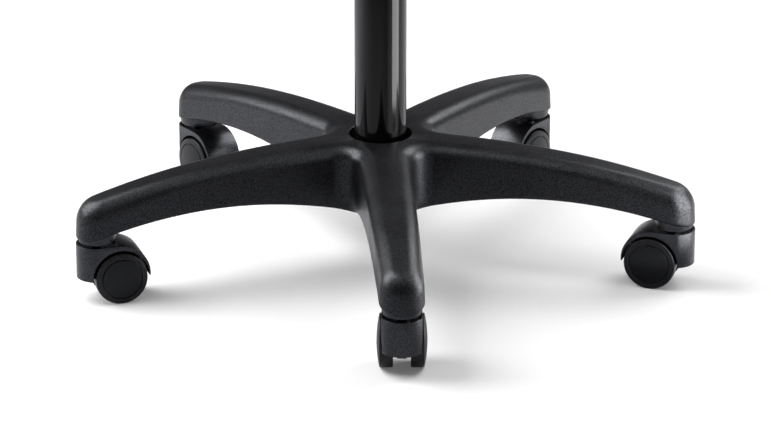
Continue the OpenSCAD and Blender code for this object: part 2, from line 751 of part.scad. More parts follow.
// The body's side view, X towards the wheels, less the arch over them
module body_side() {
    hood_x = trail + arch_r + tip_t - hood_r;
    hood_z = body_top_z - hood_r;
    difference() {
        union() {
            translate([-post_r, post_foot_z]) square([post_r + hood_x, body_top_z - post_foot_z]);
            intersection() {
                translate([hood_x, hood_z]) circle(r = hood_r);
                translate([0, axle_z]) square([trail + arch_r + tip_t + past, body_top_z]);
            }
        }
        translate([trail, axle_z]) circle(r = arch_r);
        translate([0, 0]) square([trail + arch_r, axle_z]);
    }
}

// The body's plan: a round front between flat sides
module body_plan() {
    intersection() {
        union() {
            circle(r = post_r);
            translate([0, -body_w / 2]) square([trail + arch_r + hood_r, body_w]);
        }
        translate([-post_r, -body_w / 2]) square([post_r + trail + arch_r + hood_r, body_w]);
    }
}

// The middle web's side view: from the post over the wheels' axle, and on under the hood
module web_side() {
    reach = arch_r + past;
    far = 2 * reach;
    intersection() {
        translate([trail, axle_z]) circle(r = reach);
        union() {
            translate([-post_r + wall_t, axle_z - axle_boss_r / 2]) square([post_r - wall_t + trail, far]);
            translate([trail, axle_z]) polygon([[0, 0], [far * cos(web_end), far * sin(web_end)], [0, far]]);
        }
    }
}

module castor_body(k) {
    boss_half = wheel_in - gap;
    color("#333337") at_castor(k) difference() {
        union() {
            intersection() {
                translate([0, body_w / 2, 0]) rotate([90, 0, 0]) linear_extrude(body_w) body_side();
                linear_extrude(body_top_z) body_plan();
            }
            ring(stem_boss_r, 0, stem_boss_foot_z, recess_z + past);
            translate([trail, boss_half, axle_z]) rotate([90, 0, 0]) cylinder(r = axle_boss_r, h = 2 * boss_half);
            translate([0, web_t / 2, 0]) rotate([90, 0, 0]) linear_extrude(web_t) web_side();
        }
        ring(recess_r, stem_boss_r, recess_z, body_top_z + past);
        ring(stem_boss_r + past, 0, stem_boss_top_z, body_top_z + past);
        ring(stem_r + running, 0, stem_boss_foot_z - past, body_top_z + past);
        ring(stem_clip_r + gap, 0, stem_foot_z - past, stem_boss_foot_z);
        translate([trail, body_w, axle_z]) rotate([90, 0, 0]) cylinder(r = axle_r, h = 2 * body_w);
    }
}

module castor_axle(k) {
    half = wheel_out + dome_h - axle_cover - gap;
    color("#9a9da1") at_castor(k) at_wheel("left") ring(axle_r, 0, -half, half);
}

// Height of the domed face above the wheel's middle plane at a radius
function dome_z(r) = wheel_out + dome_h - (dome_arc_r - sqrt(dome_arc_r ^ 2 - r ^ 2));
function dome_line(r0, r1) = [for (i = [0:dome_steps]) let (r = r0 + (r1 - r0) * i / dome_steps) [r, dome_z(r)]];

// A wheel without its tyre: domed disc, rim and hub tube, open on the inner side
module castor_wheel(k, side) {
    bore_end = wheel_out + dome_h - axle_cover;
    face_r = disc_r - groove;
    back = wheel_out - disc_t;
    color("#2e2e31") at_castor(k) at_wheel(side) rotate_extrude() polygon(concat(
        [[0, bore_end]], dome_line(0, face_r),
        [[disc_r, dome_z(disc_r) - groove], [disc_r, wheel_in + rim_inset], [disc_r - rim_t, wheel_in + rim_inset],
         [disc_r - rim_t, back], [wheel_hub_r, back], [wheel_hub_r, wheel_in],
         [axle_r + running, wheel_in], [axle_r + running, bore_end]]));
}

module castor_tyre(k, side) {
    c = tread_edge;
    color("#3b3b3d") at_castor(k) at_wheel(side) rotate_extrude() polygon(concat(
        [[disc_r, wheel_in], [wheel_r - c, wheel_in], [wheel_r, wheel_in + c], [wheel_r, wheel_out - c],
         [wheel_r - c * 0.3, wheel_out - c * 0.3]],
        [for (i = [dome_steps:-1:0]) let (r = disc_r + groove + (wheel_r - c - disc_r - groove) * i / dome_steps)
            [r, dome_z(r)]],
        [[disc_r, dome_z(disc_r) - groove]]));
}

star_base();
hub_ring();
socket_collars();
castor_stems();
stem_grip_rings();
stem_clips();
column_tube();
foot_plate();
guide_bush();
lower_race();
bearing_balls();
ball_cage();
upper_race();
piston_rod();
piston();
piston_seal();
rubber_bumper();
rod_washer();
rod_clip();
pressure_cylinder();
inner_cylinder();
rod_guide();
rod_seal();
valve_body();
release_pin();
castor_body(FRONT);  // front_castor_body
castor_axle(FRONT);  // front_castor_axle
castor_wheel(FRONT, "left");  // front_left_wheel
castor_tyre(FRONT, "left");  // front_left_tyre
castor_wheel(FRONT, "right");  // front_right_wheel
castor_tyre(FRONT, "right");  // front_right_tyre
castor_body(RIGHT);  // right_castor_body
castor_axle(RIGHT);  // right_castor_axle
castor_wheel(RIGHT, "left");  // right_left_wheel
castor_tyre(RIGHT, "left");  // right_left_tyre
castor_wheel(RIGHT, "right");  // right_right_wheel
castor_tyre(RIGHT, "right");  // right_right_tyre
castor_body(REAR_RIGHT);  // rear_right_castor_body
castor_axle(REAR_RIGHT);  // rear_right_castor_axle
castor_wheel(REAR_RIGHT, "left");  // rear_right_left_wheel
castor_tyre(REAR_RIGHT, "left");  // rear_right_left_tyre
castor_wheel(REAR_RIGHT, "right");  // rear_right_right_wheel
castor_tyre(REAR_RIGHT, "right");  // rear_right_right_tyre
castor_body(REAR_LEFT);  // rear_left_castor_body
castor_axle(REAR_LEFT);  // rear_left_castor_axle
castor_wheel(REAR_LEFT, "left");  // rear_left_left_wheel
castor_tyre(REAR_LEFT, "left");  // rear_left_left_tyre
castor_wheel(REAR_LEFT, "right");  // rear_left_right_wheel
castor_tyre(REAR_LEFT, "right");  // rear_left_right_tyre
castor_body(LEFT);  // left_castor_body
castor_axle(LEFT);  // left_castor_axle
castor_wheel(LEFT, "left");  // left_left_wheel
castor_tyre(LEFT, "left");  // left_left_tyre
castor_wheel(LEFT, "right");  // left_right_wheel
castor_tyre(LEFT, "right");  // left_right_tyre
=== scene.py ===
"""Dressed model of a swivel stool base: moulded star, hooded castors and gas-lift column."""

import logging
import math
from contextlib import contextmanager
from dataclasses import dataclass
from enum import Enum
from typing import Callable, Iterator, Optional, Sequence, Union

import bpy
from mathutils import Matrix, Vector


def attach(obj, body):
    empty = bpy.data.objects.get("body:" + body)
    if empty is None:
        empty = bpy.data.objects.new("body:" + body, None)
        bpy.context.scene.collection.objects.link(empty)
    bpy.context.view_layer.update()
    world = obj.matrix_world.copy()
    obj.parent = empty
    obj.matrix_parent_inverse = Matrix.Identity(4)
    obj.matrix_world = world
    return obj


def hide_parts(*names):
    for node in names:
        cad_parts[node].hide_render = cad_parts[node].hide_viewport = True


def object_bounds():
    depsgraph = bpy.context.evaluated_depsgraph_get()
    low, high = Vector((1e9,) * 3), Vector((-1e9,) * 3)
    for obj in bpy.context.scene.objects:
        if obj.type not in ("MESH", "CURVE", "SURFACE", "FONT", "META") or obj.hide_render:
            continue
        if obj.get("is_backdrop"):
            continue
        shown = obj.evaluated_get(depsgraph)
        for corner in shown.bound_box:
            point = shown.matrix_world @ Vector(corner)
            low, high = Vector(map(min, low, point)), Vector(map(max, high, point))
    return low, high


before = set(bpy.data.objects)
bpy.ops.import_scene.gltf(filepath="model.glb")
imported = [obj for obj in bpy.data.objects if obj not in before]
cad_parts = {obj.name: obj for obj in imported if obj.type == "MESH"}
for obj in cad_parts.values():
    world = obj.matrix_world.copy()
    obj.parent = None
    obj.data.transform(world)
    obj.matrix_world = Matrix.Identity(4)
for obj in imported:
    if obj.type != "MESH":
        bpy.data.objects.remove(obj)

log = logging.getLogger("stool_base")

MM = 0.001
ARMS = 5
ARM_STEP = 360.0 / ARMS
PLACES = ("front", "right", "rear_right", "rear_left", "left")
# The middle range in which most of a noise pattern's values lie, as a map range's inputs 1 and 2
NOISE_MIDDLE = {1: 0.3, 2: 0.7}
# Points nearer than MERGE metres are merged. An edge shorter than TINY, in its own unit, counts as none
MERGE, TINY = 2e-6, 1e-6
# Faces round a full turn of round shapes, from small and hidden ones to the large smooth ones
SMALL_ROUND, SOCKET_ROUND, ROUND, FINE_ROUND, TUBE_ROUND = 48, 64, 96, 128, 160

Point = tuple[float, float]
Place = Callable[[float, float], tuple[float, float, float]]
Value = Union[float, Sequence[float], bpy.types.NodeSocket]
Inputs = dict[Union[str, int], Value]
Stops = Sequence[tuple[float, str]]


class Side(Enum):
    """The two wheels of one castor, named as seen along its trail."""

    LEFT = "left"
    RIGHT = "right"


class Cut(Enum):
    """What a tool does to a piece."""

    AWAY = "DIFFERENCE"
    TOGETHER = "UNION"
    OVERLAP = "INTERSECT"


# Mesh work


def clear_selection() -> None:
    """Leaves edit mode and deselects every object."""
    if bpy.context.object and bpy.context.object.mode != "OBJECT":
        bpy.ops.object.mode_set(mode="OBJECT")
    bpy.ops.object.select_all(action="DESELECT")


def activate(piece: bpy.types.Object) -> None:
    """Selects one piece alone and makes it the active one.

    Args:
        piece: the piece to work on next.
    """
    clear_selection()
    piece.select_set(True)
    bpy.context.view_layer.objects.active = piece


@contextmanager
def editing(piece: bpy.types.Object) -> Iterator[None]:
    """Opens a piece in edit mode with everything selected, and closes it again.

    Args:
        piece: the mesh to work on.
    """
    activate(piece)
    bpy.ops.object.mode_set(mode="EDIT")
    bpy.ops.mesh.select_all(action="SELECT")
    yield
    bpy.ops.object.mode_set(mode="OBJECT")


def close_up(piece: bpy.types.Object) -> None:
    """Merges a piece's doubles, drops what collapsed, and turns its faces outwards.

    Args:
        piece: the piece to clean.
    """
    with editing(piece):
        bpy.ops.mesh.remove_doubles(threshold=MERGE)
        bpy.ops.mesh.dissolve_degenerate(threshold=TINY)
        bpy.ops.mesh.delete_loose()
        bpy.ops.mesh.select_all(action="SELECT")
        bpy.ops.mesh.normals_make_consistent(inside=False)


def lathe(name: str, outline: Sequence[Point], steps: int = ROUND) -> bpy.types.Object:
    """Spins a closed outline round +Z.

    Args:
        name: the piece's name.
        outline: (radius, height) points in millimetres.
        steps: faces round a full turn.

    Returns:
        The closed piece.
    """
    clear_selection()
    bpy.ops.mesh.primitive_circle_add(vertices=len(outline), radius=1, fill_type="NOTHING")
    piece = bpy.context.object
    piece.name = name
    for vertex, (r, z) in zip(piece.data.vertices, outline):
        vertex.co = (r * MM, 0, z * MM)
    with editing(piece):
        bpy.ops.mesh.spin(steps=steps, angle=math.tau, center=(0, 0, 0), axis=(0, 0, 1), use_auto_merge=True)
    close_up(piece)
    return piece


def prism(name: str, outline: Sequence[Point], depth: float, upright: bool = False) -> bpy.types.Object:
    """Extrudes a closed outline.

    Args:
        name: the piece's name.
        outline: points in millimetres, in the XZ plane, or in the XY plane if upright.
        depth: length in millimetres, centred on Y, or up from Z 0 if upright.
        upright: whether the outline lies flat and is drawn up.

    Returns:
        The closed piece.
    """
    clear_selection()
    bpy.ops.mesh.primitive_circle_add(vertices=len(outline), radius=1, fill_type="NGON")
    piece = bpy.context.object
    piece.name = name
    for vertex, (x, y) in zip(piece.data.vertices, outline):
        vertex.co = (x * MM, y * MM, 0) if upright else (x * MM, -depth / 2 * MM, y * MM)
    step = (0, 0, depth * MM) if upright else (0, depth * MM, 0)
    with editing(piece):
        bpy.ops.mesh.extrude_region_move(TRANSFORM_OT_translate={"value": step})
        bpy.ops.mesh.select_all(action="SELECT")
        bpy.ops.mesh.normals_make_consistent(inside=False)
    return piece


def skin(name: str, columns: int, rows: int, place: Place) -> bpy.types.Object:
    """Shapes a grid into a closed skin.

    Args:
        name: the piece's name.
        columns: cells along the grid's first way.
        rows: cells along its second way.
        place: gives a grid point's place in millimetres from its column and row.

    Returns:
        The closed piece.
    """
    clear_selection()
    bpy.ops.mesh.primitive_grid_add(x_subdivisions=columns, y_subdivisions=rows, size=2)
    piece = bpy.context.object
    piece.name = name
    for vertex in piece.data.vertices:
        column = round((vertex.co.x + 1) / 2 * columns)
        row = round((vertex.co.y + 1) / 2 * rows)
        vertex.co = Vector(place(column, row)) * MM
    close_up(piece)
    return piece


def block(name: str, low: Sequence[float], high: Sequence[float]) -> bpy.types.Object:
    """A box between two corners, used as a cutting tool.

    Args:
        name: the piece's name.
        low: its lowest corner in millimetres.
        high: its highest corner in millimetres.

    Returns:
        The box.
    """
    clear_selection()
    centre = [(a + b) / 2 * MM for a, b in zip(low, high)]
    bpy.ops.mesh.primitive_cube_add(size=1)
    piece = bpy.context.object
    piece.name = name
    scale = Matrix.Diagonal([(b - a) * MM for a, b in zip(low, high)] + [1])
    piece.data.transform(Matrix.Translation(centre) @ scale)
    return piece


def turned(piece: bpy.types.Object, degrees: float, x: float = 0.0) -> bpy.types.Object:
    """Turns a piece's mesh about +Z, then shifts it along X.

    Args:
        piece: the piece to move.
        degrees: the turn.
        x: the shift in millimetres.

    Returns:
        The same piece.
    """
    piece.data.transform(Matrix.Translation((x * MM, 0, 0)) @ Matrix.Rotation(math.radians(degrees), 4, "Z"))
    return piece


def copied(piece: bpy.types.Object, name: str, matrix: Matrix) -> bpy.types.Object:
    """A copy with its own mesh, moved by a matrix.

    Args:
        piece: the pattern.
        name: the copy's name.
        matrix: where the copy goes.

    Returns:
        The copy.
    """
    activate(piece)
    bpy.ops.object.duplicate(linked=False)
    copy = bpy.context.object
    copy.name = name
    copy.data.transform(matrix)
    return copy


def joined(name: str, pieces: Sequence[bpy.types.Object]) -> bpy.types.Object:
    """Joins several pieces into one object.

    Args:
        name: the joined piece's name.
        pieces: the pieces, which are used up.

    Returns:
        The joined piece.
    """
    activate(pieces[0])
    for piece in pieces:
        piece.select_set(True)
    bpy.ops.object.join()
    whole = bpy.context.object
    whole.name = name
    return whole


def discard(*pieces: bpy.types.Object) -> None:
    """Removes patterns and tools that have done their work."""
    for piece in pieces:
        bpy.data.objects.remove(piece, do_unlink=True)


def carve(piece: bpy.types.Object, tool: bpy.types.Object, how: Cut = Cut.AWAY) -> None:
    """Works on a piece with a tool, which is used up.

    Args:
        piece: the piece to change.
        tool: the shape to work with.
        how: what the tool does to the piece.
    """
    activate(piece)
    cut = piece.modifiers.new("cut", "BOOLEAN")
    cut.operation = how.value
    cut.object = tool
    cut.solver = "MANIFOLD"
    bpy.ops.object.modifier_apply(modifier=cut.name)
    discard(tool)


def soften(
    piece: bpy.types.Object, width: float, sharp: float = 32.0, segments: int = 3,
    share: Callable[[Vector], float] = lambda middle: 1.0,
) -> None:
    """Rounds a piece's sharp edges.

    Args:
        piece: the piece to round.
        width: the rounding's width in millimetres.
        sharp: the least angle of an edge that is rounded, in degrees.
        segments: faces across the rounding.
        share: gives the share of the width for an edge from its middle, in millimetres.
    """
    with editing(piece):
        bpy.ops.mesh.select_all(action="DESELECT")
        bpy.ops.mesh.select_mode(type="EDGE")
        bpy.ops.mesh.edges_select_sharp(sharpness=math.radians(sharp))
    mesh = piece.data
    weights = mesh.attributes.new("bevel_weight_edge", "FLOAT", "EDGE")
    for edge in mesh.edges:
        if edge.select:
            ends = [mesh.vertices[i].co for i in edge.vertices]
            weights.data[edge.index].value = share((ends[0] + ends[1]) / 2 / MM)
    rounding = piece.modifiers.new("rounding", "BEVEL")
    rounding.limit_method = "WEIGHT"
    rounding.width = width * MM
    rounding.segments = segments
    activate(piece)
    bpy.ops.object.modifier_apply(modifier=rounding.name)


def smooth(piece: bpy.types.Object, angle: float = 32.0) -> None:
    """Shades a piece smooth, with edges over an angle in degrees left crisp."""
    activate(piece)
    bpy.ops.object.shade_smooth_by_angle(angle=math.radians(angle))


def arc(cx: float, cy: float, r: float, start: float, end: float, steps: int) -> list[Point]:
    """Points on a circle from one angle to another, in degrees, both ends included."""
    angles = [math.radians(start + (end - start) * i / steps) for i in range(steps + 1)]
    return [(cx + r * math.cos(a), cy + r * math.sin(a)) for a in angles]


def eased(corners: Sequence[tuple[float, float, float]], steps: int = 4) -> list[Point]:
    """Rounds the corners of an outline.

    Args:
        corners: (x, y, radius) of each corner; radius 0 keeps it sharp.
        steps: faces in each rounding.

    Returns:
        The outline's points.
    """
    points: list[Point] = []
    for i, (x, y, r) in enumerate(corners):
        here = Vector((x, y))
        back = Vector(corners[i - 1][:2]) - here
        on = Vector(corners[(i + 1) % len(corners)][:2]) - here
        if r <= 0 or back.length < TINY or on.length < TINY:
            points.append((x, y))
            continue
        half = back.angle(on) / 2
        reach = min(r / math.tan(half), 0.49 * back.length, 0.49 * on.length)
        r = reach * math.tan(half)
        centre = here + (back.normalized() + on.normalized()).normalized() * (r / math.sin(half))
        first = here + back.normalized() * reach - centre
        last = here + on.normalized() * reach - centre
        start = math.atan2(first.y, first.x)
        sweep = (math.atan2(last.y, last.x) - start + math.pi) % math.tau - math.pi
        for k in range(steps + 1):
            a = start + sweep * k / steps
            points.append((centre.x + r * math.cos(a), centre.y + r * math.sin(a)))
    return points


def arm_matrix(k: int) -> Matrix:
    """Turns the pattern arm, which lies along +X, onto arm number k."""
    return Matrix.Rotation(math.radians(ARM_STEP * k - 90), 4, "Z")


# Finishes


def linear(colour: str) -> tuple[float, float, float, float]:
    """Turns an sRGB colour into a linear one.

    Args:
        colour: the colour as #rrggbb.

    Returns:
        Linear red, green and blue, and an alpha of 1.
    """
    channels = [int(colour[i:i + 2], 16) / 255 for i in (1, 3, 5)]
    r, g, b = (c / 12.92 if c <= 0.04045 else ((c + 0.055) / 1.055) ** 2.4 for c in channels)
    return r, g, b, 1.0


def add_node(tree: bpy.types.NodeTree, kind: str, inputs: Optional[Inputs] = None, stops: Stops = (),
             **settings: object) -> bpy.types.Node:
    """Adds a node with its settings, values and links.

    Args:
        tree: the material's or the world's node tree.
        kind: the node's type.
        inputs: a value, or a socket to link from, for each named input.
        stops: a colour ramp's places, from 0 to 1, and their hex colours.
        settings: the node's own properties.

    Returns:
        The node.
    """
    node = tree.nodes.new(kind)
    for name, value in settings.items():
        setattr(node, name, value)
    while stops and len(node.color_ramp.elements) < len(stops):
        node.color_ramp.elements.new(0.5)
    for i, (place, colour) in enumerate(stops):
        node.color_ramp.elements[i].position = place
        node.color_ramp.elements[i].color = linear(colour)
    for name, value in (inputs or {}).items():
        if isinstance(value, bpy.types.NodeSocket):
            tree.links.new(value, node.inputs[name])
        else:
            node.inputs[name].default_value = value
    return node


def pattern(tree: bpy.types.NodeTree, size_mm: float, detail: float = 2.0,
            stretch: Sequence[float] = (1, 1, 1)) -> bpy.types.NodeSocket:
    """A noise pattern in the piece's own place, at a real size.

    Args:
        tree: the node tree.
        size_mm: the width of one grain.
        detail: how many finer layers the noise has.
        stretch: how much finer it is along X, Y and Z.

    Returns:
        The pattern's value.
    """
    place = add_node(tree, "ShaderNodeTexCoord")
    scale = [s / (size_mm * MM) for s in stretch]
    mapped = add_node(tree, "ShaderNodeMapping", {"Vector": place.outputs["Object"], "Scale": scale})
    inputs: Inputs = {"Vector": mapped.outputs[0], "Scale": 1.0, "Detail": detail}
    return add_node(tree, "ShaderNodeTexNoise", inputs).outputs[0]


def new_surface(name: str) -> tuple[bpy.types.Material, bpy.types.NodeTree, bpy.types.Node]:
    """Makes an empty node material.

    Args:
        name: the material's name.

    Returns:
        The material, its node tree and its surface shader.
    """
    material = bpy.data.materials.new(name)
    material.use_nodes = True
    tree = material.node_tree
    return material, tree, tree.nodes["Principled BSDF"]


@dataclass(frozen=True)
class MouldedPlastic:
    """A moulded thermoplastic with the fine pitted grain of its spark-eroded tool.

    Attributes:
        name: the material's name.
        base: its colour.
        fleck: the paler colour on the tops of the grain.
        grain_mm: width of one grain.
        grain_height_mm: height of the grain.
        roughness: its least and greatest roughness.
        gloss: how much the hollows and the tops of the grain mirror.
        cloud_mm: width of the faint clouds that the melt's flow leaves.
        fleck_range: the grain's heights, from 0 to 1, between which the base turns to the fleck colour.
        tint: the slight slate tint that the pigment gives the sheen.
        ior: refractive index.
    """

    name: str
    base: str
    fleck: str
    grain_mm: float
    grain_height_mm: float
    roughness: tuple[float, float]
    gloss: tuple[float, float] = (0.45, 0.6)
    cloud_mm: float = 30.0
    fleck_range: Point = (0.45, 0.72)
    tint: str = "#f4f7ff"
    ior: float = 1.5

    def material(self) -> bpy.types.Material:
        """Builds the node material.

        Returns:
            The material.
        """
        material, tree, shader = new_surface(self.name)
        grain = pattern(tree, self.grain_mm, 3.0)
        cloud = pattern(tree, self.cloud_mm, 2.0)
        colour = add_node(tree, "ShaderNodeValToRGB", {0: grain},
                          stops=tuple(zip(self.fleck_range, (self.base, self.fleck))))
        rough = add_node(tree, "ShaderNodeMapRange",
                         {0: cloud, **NOISE_MIDDLE, 3: self.roughness[0], 4: self.roughness[1]})
        mirror = add_node(tree, "ShaderNodeMapRange",
                          {0: grain, **NOISE_MIDDLE, 3: self.gloss[0], 4: self.gloss[1]})
        bump = add_node(tree, "ShaderNodeBump",
                        {"Height": grain, "Distance": self.grain_height_mm * MM, "Strength": 1.0})
        for name, node in (("Base Color", colour), ("Roughness", rough), ("Specular IOR Level", mirror),
                           ("Normal", bump)):
            tree.links.new(node.outputs[0], shader.inputs[name])
        shader.inputs["IOR"].default_value = self.ior
        shader.inputs["Specular Tint"].default_value = linear(self.tint)
        return material


@dataclass(frozen=True)
class Enamel:
    """Baked gloss enamel over steel, with the slight ripple that spraying leaves.

    Attributes:
        name: the material's name.
        base: its colour.
        shade: the paler colour where the film is thinner.
        ripple_mm: width of the ripple.
        ripple_height_mm: height of the ripple.
        roughness: its least and greatest roughness.
        film_mm: width of the places where the film is thicker or thinner.
        shade_range: the film's values, from 0 to 1, between which the base turns to the shade.
        mirror: how much it mirrors, below the plain 0.5 because a film of dust dulls it.
        ior: refractive index.
    """

    name: str
    base: str
    shade: str
    ripple_mm: float
    ripple_height_mm: float
    roughness: tuple[float, float]
    film_mm: float = 30.0
    shade_range: Point = (0.35, 0.7)
    mirror: float = 0.3
    ior: float = 1.5

    def material(self) -> bpy.types.Material:
        """Builds the node material.

        Returns:
            The material.
        """
        material, tree, shader = new_surface(self.name)
        ripple = pattern(tree, self.ripple_mm, 1.0, (1, 1, 0.4))
        film = pattern(tree, self.film_mm, 3.0, (1, 1, 0.3))
        colour = add_node(tree, "ShaderNodeValToRGB", {0: film},
                          stops=tuple(zip(self.shade_range, (self.base, self.shade))))
        rough = add_node(tree, "ShaderNodeMapRange",
                         {0: film, **NOISE_MIDDLE, 3: self.roughness[0], 4: self.roughness[1]})
        bump = add_node(tree, "ShaderNodeBump",
                        {"Height": ripple, "Distance": self.ripple_height_mm * MM, "Strength": 1.0})
        for name, node in (("Base Color", colour), ("Roughness", rough), ("Normal", bump)):
            tree.links.new(node.outputs[0], shader.inputs[name])
        shader.inputs["IOR"].default_value = self.ior
        shader.inputs["Specular IOR Level"].default_value = self.mirror
        return material


@dataclass(frozen=True)
class Metal:
    """Bare or plated metal with the marks of how it was made.

    Attributes:
        name: the material's name.
        base: its colour.
        dull: the darker colour of its duller places.
        mark_mm: width of one turning or grinding mark.
        mark_height_mm: height of the marks.
        roughness: its least and greatest roughness.
        stretch: how much finer the marks are along X, Y and Z.
        patina_mm: width of the duller places.
        dull_range: the patina's values, from 0 to 1, between which the base turns to the dull colour.
        relief: how much of the marks' height the shading shows.
    """

    name: str
    base: str
    dull: str
    mark_mm: float
    mark_height_mm: float
    roughness: tuple[float, float]
    stretch: tuple[float, float, float] = (0.15, 0.15, 1.0)
    patina_mm: float = 9.0
    dull_range: Point = (0.3, 0.75)
    relief: float = 0.6

    def material(self) -> bpy.types.Material:
        """Builds the node material.

        Returns:
            The material.
        """
        material, tree, shader = new_surface(self.name)
        marks = pattern(tree, self.mark_mm, 2.0, self.stretch)
        patina = pattern(tree, self.patina_mm, 3.0)
        colour = add_node(tree, "ShaderNodeValToRGB", {0: patina},
                          stops=tuple(zip(self.dull_range, (self.base, self.dull))))
        rough = add_node(tree, "ShaderNodeMapRange",
                         {0: marks, **NOISE_MIDDLE, 3: self.roughness[0], 4: self.roughness[1]})
        bump = add_node(tree, "ShaderNodeBump",
                        {"Height": marks, "Distance": self.mark_height_mm * MM, "Strength": self.relief})
        for name, node in (("Base Color", colour), ("Roughness", rough), ("Normal", bump)):
            tree.links.new(node.outputs[0], shader.inputs[name])
        shader.inputs["Metallic"].default_value = 1.0
        return material


class Finishes:
    """Every finish of the object, each built once."""

    def __init__(self) -> None:
        """Builds the finishes.

        The real grain of these plastics is about 0.1 to 0.3 mm wide, and the marks on the metals are finer
        still. Both are too fine to show, so all are drawn coarser, at the sizes below.
        """
        # Glass-filled nylon 6 from a coarse spark-eroded tool: charcoal black, and its grain, drawn coarser
        # than real so that it shows, catches the light
        self.star = MouldedPlastic(
            "glass_filled_nylon", "#040405", "#09090a", grain_mm=1.1, grain_height_mm=0.11,
            roughness=(0.34, 0.42), gloss=(0.18, 0.8)).material()
        # Unfilled nylon from a finer tool: a smoother satin black, with its grain drawn coarser than real
        self.castor = MouldedPlastic(
            "satin_nylon", "#050506", "#0a0a0b", grain_mm=1.1, grain_height_mm=0.06,
            roughness=(0.28, 0.36), gloss=(0.35, 1.0)).material()
        # The collars are of the same nylon, a shade smoother
        self.collar = MouldedPlastic(
            "collar_nylon", "#050506", "#0a0a0b", grain_mm=1.2, grain_height_mm=0.05,
            roughness=(0.28, 0.36), gloss=(0.4, 1.0)).material()
        # Cap discs come from a polished-then-blasted tool and look flat grey-black
        self.wheel = MouldedPlastic(
            "wheel_nylon", "#060607", "#0b0b0c", grain_mm=0.8, grain_height_mm=0.015,
            roughness=(0.3, 0.38), gloss=(0.26, 0.38)).material()
        # Treads gather dust, which gives them an olive speckle, drawn coarser than real
        self.tread = MouldedPlastic(
            "dusty_tread", "#070707", "#1c1c18", grain_mm=1.3, grain_height_mm=0.08,
            roughness=(0.3, 0.42), gloss=(0.28, 0.46)).material()
        # Painted shade: the hood's inside, over the wheels, gets a darker, dull black with no sheen, which
        # stands for the shade in the gap between hood and wheels
        self.core = MouldedPlastic(
            "arch_painted_shade_nylon", "#030304", "#060607", grain_mm=1.3, grain_height_mm=0.12,
            roughness=(0.7, 0.8), gloss=(0.05, 0.12)).material()
        # Turned acetal: dense black with an even soft shine
        self.acetal = MouldedPlastic(
            "black_acetal", "#161617", "#1e1e20", grain_mm=0.4, grain_height_mm=0.008,
            roughness=(0.28, 0.36)).material()
        # Moulded nitrile rubber: soot black and dull
        self.rubber = MouldedPlastic(
            "nitrile_rubber", "#131313", "#202020", grain_mm=0.5, grain_height_mm=0.02,
            roughness=(0.6, 0.75)).material()
        # Sprayed and baked enamel: deep black with clear, slightly rippled reflections
        self.enamel = Enamel(
            "gloss_black_enamel", "#070708", "#0b0b0c", ripple_mm=5.0, ripple_height_mm=0.004,
            roughness=(0.09, 0.14)).material()
        # Zinc-plated steel: pale blue-grey with a soft, cloudy shine
        self.zinc = Metal(
            "zinc_plated_steel", "#b9bcc0", "#8f9398", mark_mm=0.4, mark_height_mm=0.01,
            roughness=(0.26, 0.4)).material()
        # Oil-hardened spring steel: a darker, duller grey
        self.spring = Metal(
            "spring_steel", "#8f9297", "#6c7075", mark_mm=0.3, mark_height_mm=0.008,
            roughness=(0.3, 0.45)).material()
        # Ground bearing steel: bright and even, with fine rings
        self.bearing = Metal(
            "ground_bearing_steel", "#c6c9cc", "#a9adb1", mark_mm=0.25, mark_height_mm=0.004,
            roughness=(0.14, 0.22)).material()
        # Ground hard chrome: a clear bright mirror
        self.chrome = Metal(
            "hard_chrome", "#d6d9dc", "#c5c8cc", mark_mm=0.2, mark_height_mm=0.001,
            roughness=(0.05, 0.1)).material()
        # Turned aluminium: light grey with fine tool rings
        self.aluminium = Metal(
            "turned_aluminium", "#c9cbcd", "#aeb1b4", mark_mm=0.3, mark_height_mm=0.01,
            roughness=(0.25, 0.38)).material()
        # Turned brass: warm yellow, browned in places
        self.brass = Metal(
            "turned_brass", "#c9a659", "#9c7c3c", mark_mm=0.3, mark_height_mm=0.01,
            roughness=(0.22, 0.36)).material()

    def dress_frame(self) -> None:
        """Gives each carried-over CAD node its finish."""
        plain = {
            "hub_ring": self.zinc, "castor_stems": self.zinc, "stem_grip_rings": self.spring,
            "stem_clips": self.spring, "foot_plate": self.zinc, "guide_bush": self.acetal,
            "lower_race": self.bearing, "upper_race": self.bearing, "bearing_balls": self.bearing,
            "ball_cage": self.brass, "piston_rod": self.chrome, "piston": self.aluminium,
            "piston_seal": self.rubber, "rubber_bumper": self.rubber, "rod_washer": self.zinc,
            "rod_clip": self.spring, "inner_cylinder": self.zinc, "rod_guide": self.acetal,
            "rod_seal": self.rubber, "valve_body": self.brass,
        }
        for place in PLACES:
            plain[f"{place}_castor_axle"] = self.zinc
        for node, material in plain.items():
            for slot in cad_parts[node].material_slots:
                slot.material = material
            log.info("dressed %s with %s", node, material.name)


def finish_piece(piece: bpy.types.Object, material: bpy.types.Material, body: str, slot: str,
                 *nodes: str) -> None:
    """Dresses a new piece and gives it its place in the frame.

    Args:
        piece: the finished mesh.
        material: its finish.
        body: the CAD body it moves with.
        slot: the record's material slot; not used.
        nodes: the CAD nodes it stands for.
    """
    piece.data.materials.clear()
    piece.data.materials.append(material)
    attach(piece, body)
    if nodes:
        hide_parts(*nodes)
    log.info("%s: %d faces, %s", piece.name, len(piece.data.polygons), material.name)


# Sub-assemblies


